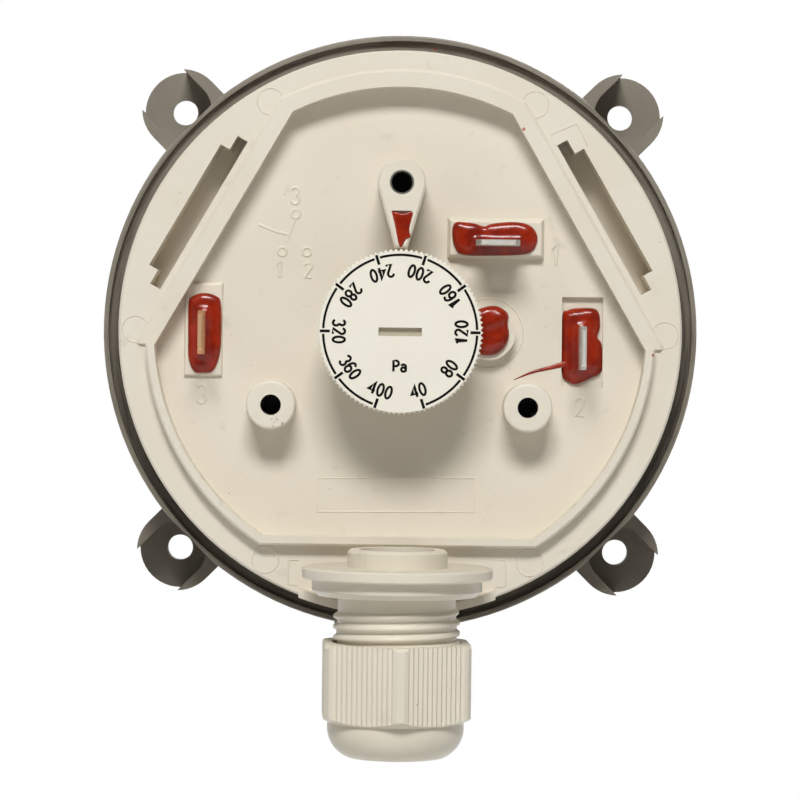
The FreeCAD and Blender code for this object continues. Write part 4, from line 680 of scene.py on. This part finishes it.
def letter_strokes(letter):
    """The middle lines of a letter, each with whether it is closed, in shares of the letter's height."""
    w, h = LETTER_HALF_WIDTH, LETTER_HALF_HEIGHT
    upper, lower = h * 0.52, -h * 0.48
    return {
        "0": [(oval(0, 0, w, h), True)],
        "1": [([(-w * 0.8, h * 0.55), (w * 0.2, h), (w * 0.2, -h)], False)],
        "2": [(oval(0, upper, w, h - upper, 170, -40) + [(-w, -h), (w, -h)], False)],
        "3": [(oval(0, upper, w * 0.9, h - upper, 160, -80), False),
              (oval(0, lower, w, h + lower, 80, -160), False)],
        "4": [([(w * 1.15, -h * 0.42), (-w * 1.15, -h * 0.42), (w * 0.5, h), (w * 0.5, -h)], False)],
        "6": [(oval(0, lower + h * 0.05, w, h * 0.57), True),
              (oval(w * 0.15, 0, w * 1.15, h, 45, 185), False)],
        "8": [(oval(0, upper, w * 0.88, h - upper), True), (oval(0, lower, w, h + lower), True)],
        "P": [([(-w, -h), (-w, h)] + oval(0, h * 0.5, w * 1.1, h * 0.5, 90, -90) + [(-w, 0)], False)],
        "a": [(oval(0, -h * 0.1, w * 0.9, h * 0.4, 160, 0) + [(w * 0.9, -h)], False),
              (oval(0, -h * 0.62, w * 0.9, h * 0.38), True)],
    }[letter]


def lettering(work, text, height, stroke, x, z, depth, thickness, turn=0.0, top_share=LINE_TOP_SHARE):
    """Adds letters made of raised strokes, centred on a place and turned in degrees."""
    along = Vector((math.cos(math.radians(turn)), math.sin(math.radians(turn))))
    upward = Vector((-along.y, along.x))
    for k, letter in enumerate(text):
        middle = Vector((x, z)) + along * height * LETTER_SPACING * (k - (len(text) - 1) / 2)
        for line, closed in letter_strokes(letter):
            points = [tuple(middle + (along * px + upward * pz) * height) for px, pz in line]
            raised_line(work, points, stroke, depth, thickness, closed, top_share)


def line_in_mm(work, points, stroke, depth, height, closed=False):
    """A raised line through points given in millimetres."""
    raised_line(work, [(x * MM, z * MM) for x, z in points], stroke, depth, height, closed)


def well_signs(work):
    """Raised signs on the well's floor: numbers, the contact diagram, an outline and a ring."""
    for text, x, z, height in SIGN_NUMBERS:
        lettering(work, text, height * MM, SIGN_STROKE, x * MM, z * MM, FLOOR, SIGN_HEIGHT)
    for x, z in SIGN_CIRCLES:
        circle = arc_points(SIGN_RING, 0, 342, x * MM, z * MM, 18)
        raised_line(work, circle, SIGN_STROKE, FLOOR, SIGN_HEIGHT, closed=True)
    for points in SIGN_LINES:
        line_in_mm(work, points, SIGN_STROKE, FLOOR, SIGN_HEIGHT * 0.8)
    line_in_mm(work, FRAME_CORNERS, FRAME_STROKE, FLOOR, FRAME_HEIGHT, closed=True)
    circle = arc_points(CALIBRATION_RING, 0, 354, CALIBRATION_X, 0, 6)
    raised_line(work, circle, MARK_STROKE, FLOOR, MARK_HEIGHT, closed=True)


def ledge_marks(work):
    """Faint marks on the ledge: a round one over each screw, and outlines by the slot and the gland."""
    for k in range(SCREW_COUNT):
        angle = math.radians(360 * k / SCREW_COUNT)
        x, z = WITNESS_CIRCLE * math.cos(angle), WITNESS_CIRCLE * math.sin(angle)
        circle = arc_points(WITNESS_RADIUS, 0, 350, x, z, 10)
        raised_line(work, circle, MARK_STROKE, LEDGE, MARK_HEIGHT, closed=True)
    for points in LEDGE_LINES:
        line_in_mm(work, points, MARK_STROKE, LEDGE, MARK_HEIGHT)


def scale_print(work):
    """The dial's printed scale: a broken ring line, ten ticks, their numbers and the unit."""
    gap = math.degrees(ARC_GAP / ARC_RADIUS)
    for k, number in enumerate(SCALE_NUMBERS):
        angle = TICK_FIRST + TICK_STEP * k
        along = Vector((math.cos(math.radians(angle)), math.sin(math.radians(angle))))
        tick = [tuple(along * TICK_INNER), tuple(along * TICK_OUTER)]
        raised_line(work, tick, TICK_STROKE, DIAL_FACE, PRINT_HEIGHT, top_share=PRINT_TOP_SHARE)
        centre = along * NUMERAL_RADIUS
        lettering(work, number, NUMERAL_HEIGHT, NUMERAL_STROKE, centre.x, centre.y, DIAL_FACE,
                  PRINT_HEIGHT, angle + 90, PRINT_TOP_SHARE)
        if k < len(SCALE_NUMBERS) - 1:
            arc = arc_points(ARC_RADIUS, angle + gap, angle + TICK_STEP - gap)
            raised_line(work, arc, ARC_STROKE, DIAL_FACE, PRINT_HEIGHT, top_share=PRINT_TOP_SHARE)
    lettering(work, "Pa", UNIT_HEIGHT, NUMERAL_STROKE, 0, UNIT_Z, DIAL_FACE, PRINT_HEIGHT, 0,
              PRINT_TOP_SHARE)


def gland_thread(work):
    """The gland's thread: one ridge wound round the neck, fading in at its start."""
    rows = []
    root = THREAD_ROOT - THREAD_SINK
    count = int(THREAD_TURNS * THREAD_STEPS)
    for k in range(count + 1):
        angle = 2 * math.pi * k / THREAD_STEPS
        z = THREAD_TOP - THREAD_PITCH * k / THREAD_STEPS
        grown = min(1.0, k / (THREAD_STEPS * THREAD_GROWS_IN))
        crest = THREAD_ROOT + (THREAD_CREST - THREAD_ROOT) * grown
        row = []
        for radius, along in ((root, THREAD_FOOT), (crest, THREAD_TIP), (crest, -THREAD_TIP),
                              (root, -THREAD_FOOT)):
            y = radius * math.cos(angle) - GLAND_AXIS_DEPTH
            row.append(work.verts.new((radius * math.sin(angle), y, z + along * THREAD_PITCH)))
        rows.append(row)
    join_rows(work, rows)
    work.faces.new(rows[0])
    work.faces.new(rows[-1])


def neck_seam(work):
    """The thin line that the two halves of the mould left down the neck's front."""
    seam = [(SEAM_X, NECK_TOP), (SEAM_X, NECK_END)]
    raised_line(work, seam, SEAM_STROKE, GLAND_AXIS_DEPTH + THREAD_ROOT, SEAM_HEIGHT)


def smooth_loop(corners, steps=8):
    """A closed smooth line through a few points."""
    points = []
    count = len(corners)
    for k in range(count):
        a, b, c, d = (Vector(corners[(k + j) % count]) for j in (-1, 0, 1, 2))
        for step in range(steps):
            t = step / steps
            points.append(0.5 * ((2 * b) + (c - a) * t + (2 * a - 5 * b + 4 * c - d) * t * t
                                 + (3 * b - a - 3 * c + d) * t ** 3))
    return points


def poured_drop(work, corners, spine, depth, thickness, seed, tab=None):
    """A drop of thick lacquer inside a ragged outline, with a rounded edge and a gently uneven top."""
    start, end = Vector(spine[0]), Vector(spine[1])
    axis = end - start
    outline = smooth_loop(corners)
    rings = []
    for share in DROP_RINGS:
        ring = []
        for point in outline:
            along = max(0.0, min(1.0, (point - start).dot(axis) / axis.length_squared))
            root = start + axis * along
            place = root + (point - root) * share
            ripple = noise.noise(Vector((*(place * DROP_RIPPLE_PER_MM), seed)))
            rise = thickness * (1 - share ** DROP_EDGE_POWER) ** 0.5 * (1 + DROP_RIPPLE * ripple)
            if tab:
                centre, half = tab
                reach = Vector((max(0.0, abs(place.x - centre[0]) - half[0]),
                                max(0.0, abs(place.y - centre[1]) - half[1]))).length
                rise += DROP_CLIMB * math.exp(-(reach / DROP_CLIMB) ** 2)
            if share == 1.0:
                rise = -DROP_BELOW
            ring.append(work.verts.new((place.x * MM, -depth - rise * MM, place.y * MM)))
        rings.append(ring)
    join_rows(work, rings, loops=True)
    bmesh.ops.remove_doubles(work, verts=work.verts, dist=DROP_MERGE)


def lacquer_run(work, points, widths, depth, thickness):
    """A thin run of lacquer along a line, tapering out."""
    rows = []
    for k, (x, z) in enumerate(points):
        before, after = points[max(0, k - 1)], points[min(len(points) - 1, k + 1)]
        along = Vector((after[0] - before[0], after[1] - before[1])).normalized()
        across = Vector((-along.y, along.x)) * widths[k] / 2
        row = []
        for step in range(RUN_SIDES + 1):
            angle = math.pi * step / RUN_SIDES
            side = math.cos(angle)
            rise = math.sin(angle) * thickness * min(1.0, widths[k] / RUN_FULL_WIDTH) - RUN_BELOW
            row.append(work.verts.new(((x + across.x * side) * MM, -depth - rise * MM,
                                       (z + across.y * side) * MM)))
        rows.append(row)
    join_rows(work, rows)


def tab_place(node):
    """The middle and half size of a tab's front end, seen from the front, in millimetres."""
    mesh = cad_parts[node].data
    front = min(vertex.co.y for vertex in mesh.vertices)
    tip = [vertex.co for vertex in mesh.vertices if vertex.co.y < front + TAB_END]
    lows = (min(point.x for point in tip), min(point.z for point in tip))
    highs = (max(point.x for point in tip), max(point.z for point in tip))
    centre = tuple((low + high) / 2 / MM for low, high in zip(lows, highs))
    half = tuple((high - low) / 2 / MM for low, high in zip(lows, highs))
    return centre, half


def lacquer_on_terminal_1(work):
    """The drop over the raised seat of terminal 1, with a waist near its left end."""
    corners = [(7.4, 14.1), (7.5, 15.6), (8.1, 16.2), (9.4, 16.15), (10.7, 16.0), (12.1, 15.6),
               (13.2, 16.0), (16.1, 16.3), (18.3, 16.0), (19.5, 15.1), (19.9, 13.7), (19.3, 12.2),
               (17.7, 11.5), (13.4, 11.3), (9.0, 11.35), (7.8, 12.4)]
    spine = ((10.2, 13.5), (17.2, 13.6))
    poured_drop(work, corners, spine, BLOCK_1_TOP, thickness=0.95, seed=1.3,
                tab=tab_place("terminal_1"))


def lacquer_on_terminal_2(work):
    """The drop in the pocket of terminal 2, with a thin run down to the left."""
    corners = [(23.7, 2.4), (24.5, 3.55), (26.4, 3.9), (28.5, 3.8), (29.2, 2.9), (29.3, 1.0),
               (28.95, -0.3), (29.6, -1.6), (29.6, -5.3), (28.1, -6.4), (25.9, -7.3), (24.3, -6.8),
               (23.75, -5.3)]
    spine = ((26.5, 1.2), (26.5, -4.4))
    poured_drop(work, corners, spine, POCKET_2_FLOOR, thickness=1.25, seed=4.1,
                tab=tab_place("terminal_2"))
    run = [(24.3, -4.3), (22.1, -4.95), (19.9, -5.4), (18.2, -6.1), (16.7, -6.8)]
    widths = [0.9, 0.6, 0.45, 0.3, 0.12]
    lacquer_run(work, run, widths, FLOOR, thickness=0.24)


def lacquer_on_terminal_3(work):
    """The long drop over the seat of terminal 3."""
    corners = [(-31.0, 3.8), (-30.4, 4.9), (-28.8, 5.4), (-27.0, 5.0), (-26.2, 3.8), (-26.1, -1.3),
               (-26.4, -4.1), (-27.3, -6.0), (-28.7, -6.3), (-30.1, -6.1), (-30.9, -4.2), (-31.0, -1.4)]
    spine = ((-28.6, 2.6), (-28.6, -3.6))
    poured_drop(work, corners, spine, BLOCK_3_TOP, thickness=0.9, seed=8.6,
                tab=tab_place("terminal_3"))


def lacquer_on_calibration_screw(work):
    """The round drop that seals the calibration screw, partly behind the dial."""
    corners = [(10.2, 2.6), (11.9, 3.7), (13.8, 4.0), (15.2, 3.4), (15.8, 2.6), (15.7, 1.4),
               (15.9, -0.4), (15.3, -2.0), (13.9, -3.1), (12.0, -3.2), (10.4, -2.2), (9.9, 0.2)]
    spine = ((12.6, 0.9), (13.2, -0.5))
    poured_drop(work, corners, spine, CALIBRATION_TOP, thickness=1.25, seed=12.4)


def lacquer_in_pointer(work):
    """The lacquer in the pointer's pocket, ragged and running to a point."""
    corners = [(-1.35, 17.25), (0.1, 17.05), (1.6, 17.3), (1.5, 16.2), (1.25, 15.2), (1.2, 14.4),
               (1.35, 13.7), (1.1, 13.5), (0.6, 13.1), (0.25, 12.4), (-0.1, 12.15), (-0.4, 12.6),
               (-0.75, 14.2), (-1.1, 15.8)]
    spine = ((0.1, 16.2), (0.05, 13.6))
    poured_drop(work, corners, spine, POINTER_LACQUER_FROM, thickness=0.3, seed=16.9)


place_camera()
light_the_scene()
make_stage()

BODY_PLASTIC = body_plastic()
GLAND_PLASTIC = gland_plastic()
LACQUER = sealing_lacquer()
TINNED = metal("tinned_brass", TIN, TIN_DULL, 0.42, GRAIN_OF_TABS, tarnish=0.4, dents=0.05, front_highlight=TIN_FRONT_HIGHLIGHT)
COPPER_TAB = metal("coppery_tab", COPPERY, COPPERY_DULL, 0.42, GRAIN_OF_TABS, tarnish=0.4, dents=0.05,
                   front_highlight=COPPERY_FRONT_HIGHLIGHT)
NODE_FINISHES = {
    "base_shell": base_plastic(),
    "switch_body": BODY_PLASTIC,
    "gland_body": GLAND_PLASTIC,
    "gland_nut": GLAND_PLASTIC,
    "setpoint_dial": dial_plastic(),
    "terminal_1": TINNED,
    "terminal_2": TINNED,
    "terminal_3": COPPER_TAB,
    "cover_bush": metal("bush_steel", BUSH_STEEL, BUSH_STEEL_DULL, 0.34, GRAIN_OF_BUSH),
    "housing_screws": metal("zinc_steel", ZINC, ZINC_DULL, 0.33),
    "calibration_screw": metal("turned_brass", BRASS, BRASS_DULL, 0.3),
    "diaphragm": soft_part("silicone", SILICONE, SILICONE_DUSTY, 0.5),
    "spindle_seal": soft_part("black_rubber", RUBBER, RUBBER_DUSTY, 0.6),
    "gland_claws": soft_part("claw_plastic", CLAW_IVORY, CLAW_DUSTY, 0.42),
    "diaphragm_front_plate": metal("plate_aluminium", ALUMINIUM, ALUMINIUM_DULL, 0.36),
    "range_spring": metal("spring_steel", SPRING_STEEL, SPRING_STEEL_DULL, 0.28),
    "snap_blade": metal("spring_bronze", BRONZE, BRONZE_DULL, 0.3, GRAIN_OF_BLADE),
    "rest_contact": metal("contact_silver", SILVER, SILVER_DULL, 0.22),
}
SAME_FINISH = {
    "diaphragm_rear_plate": "diaphragm_front_plate",
    "diaphragm_stud": "calibration_screw",
    "adjusting_nut": "calibration_screw",
    "dial_spindle": "calibration_screw",
    "gland_seal": "spindle_seal",
    "working_contact": "rest_contact",
    "moving_contact": "rest_contact",
}
for node, twin in SAME_FINISH.items():
    NODE_FINISHES[node] = NODE_FINISHES[twin]
for node, finish in NODE_FINISHES.items():
    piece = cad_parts[node]
    piece.data.materials.clear()
    piece.data.materials.append(finish)

add_piece("well_signs", well_signs, "housing", BODY_PLASTIC, smooth=False)
add_piece("ledge_marks", ledge_marks, "housing", BODY_PLASTIC, smooth=False)
add_piece("scale_print", scale_print, "dial", dial_print(), smooth=False)
add_piece("gland_thread", gland_thread, "housing", GLAND_PLASTIC)
add_piece("neck_seam", neck_seam, "housing", GLAND_PLASTIC, smooth=False)
LACQUER_DROPS = {
    "lacquer_1": lacquer_on_terminal_1,
    "lacquer_2": lacquer_on_terminal_2,
    "lacquer_3": lacquer_on_terminal_3,
    "calibration_lacquer": lacquer_on_calibration_screw,
    "pointer_lacquer": lacquer_in_pointer,
}
for node, build in LACQUER_DROPS.items():
    drop = add_piece("poured_" + node, build, "housing", LACQUER)
    rounding = drop.modifiers.new("rounding", "SUBSURF")
    rounding.levels = 1
    rounding.render_levels = 1
    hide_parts(node)

bpy.context.scene.view_settings.view_transform = "Standard"
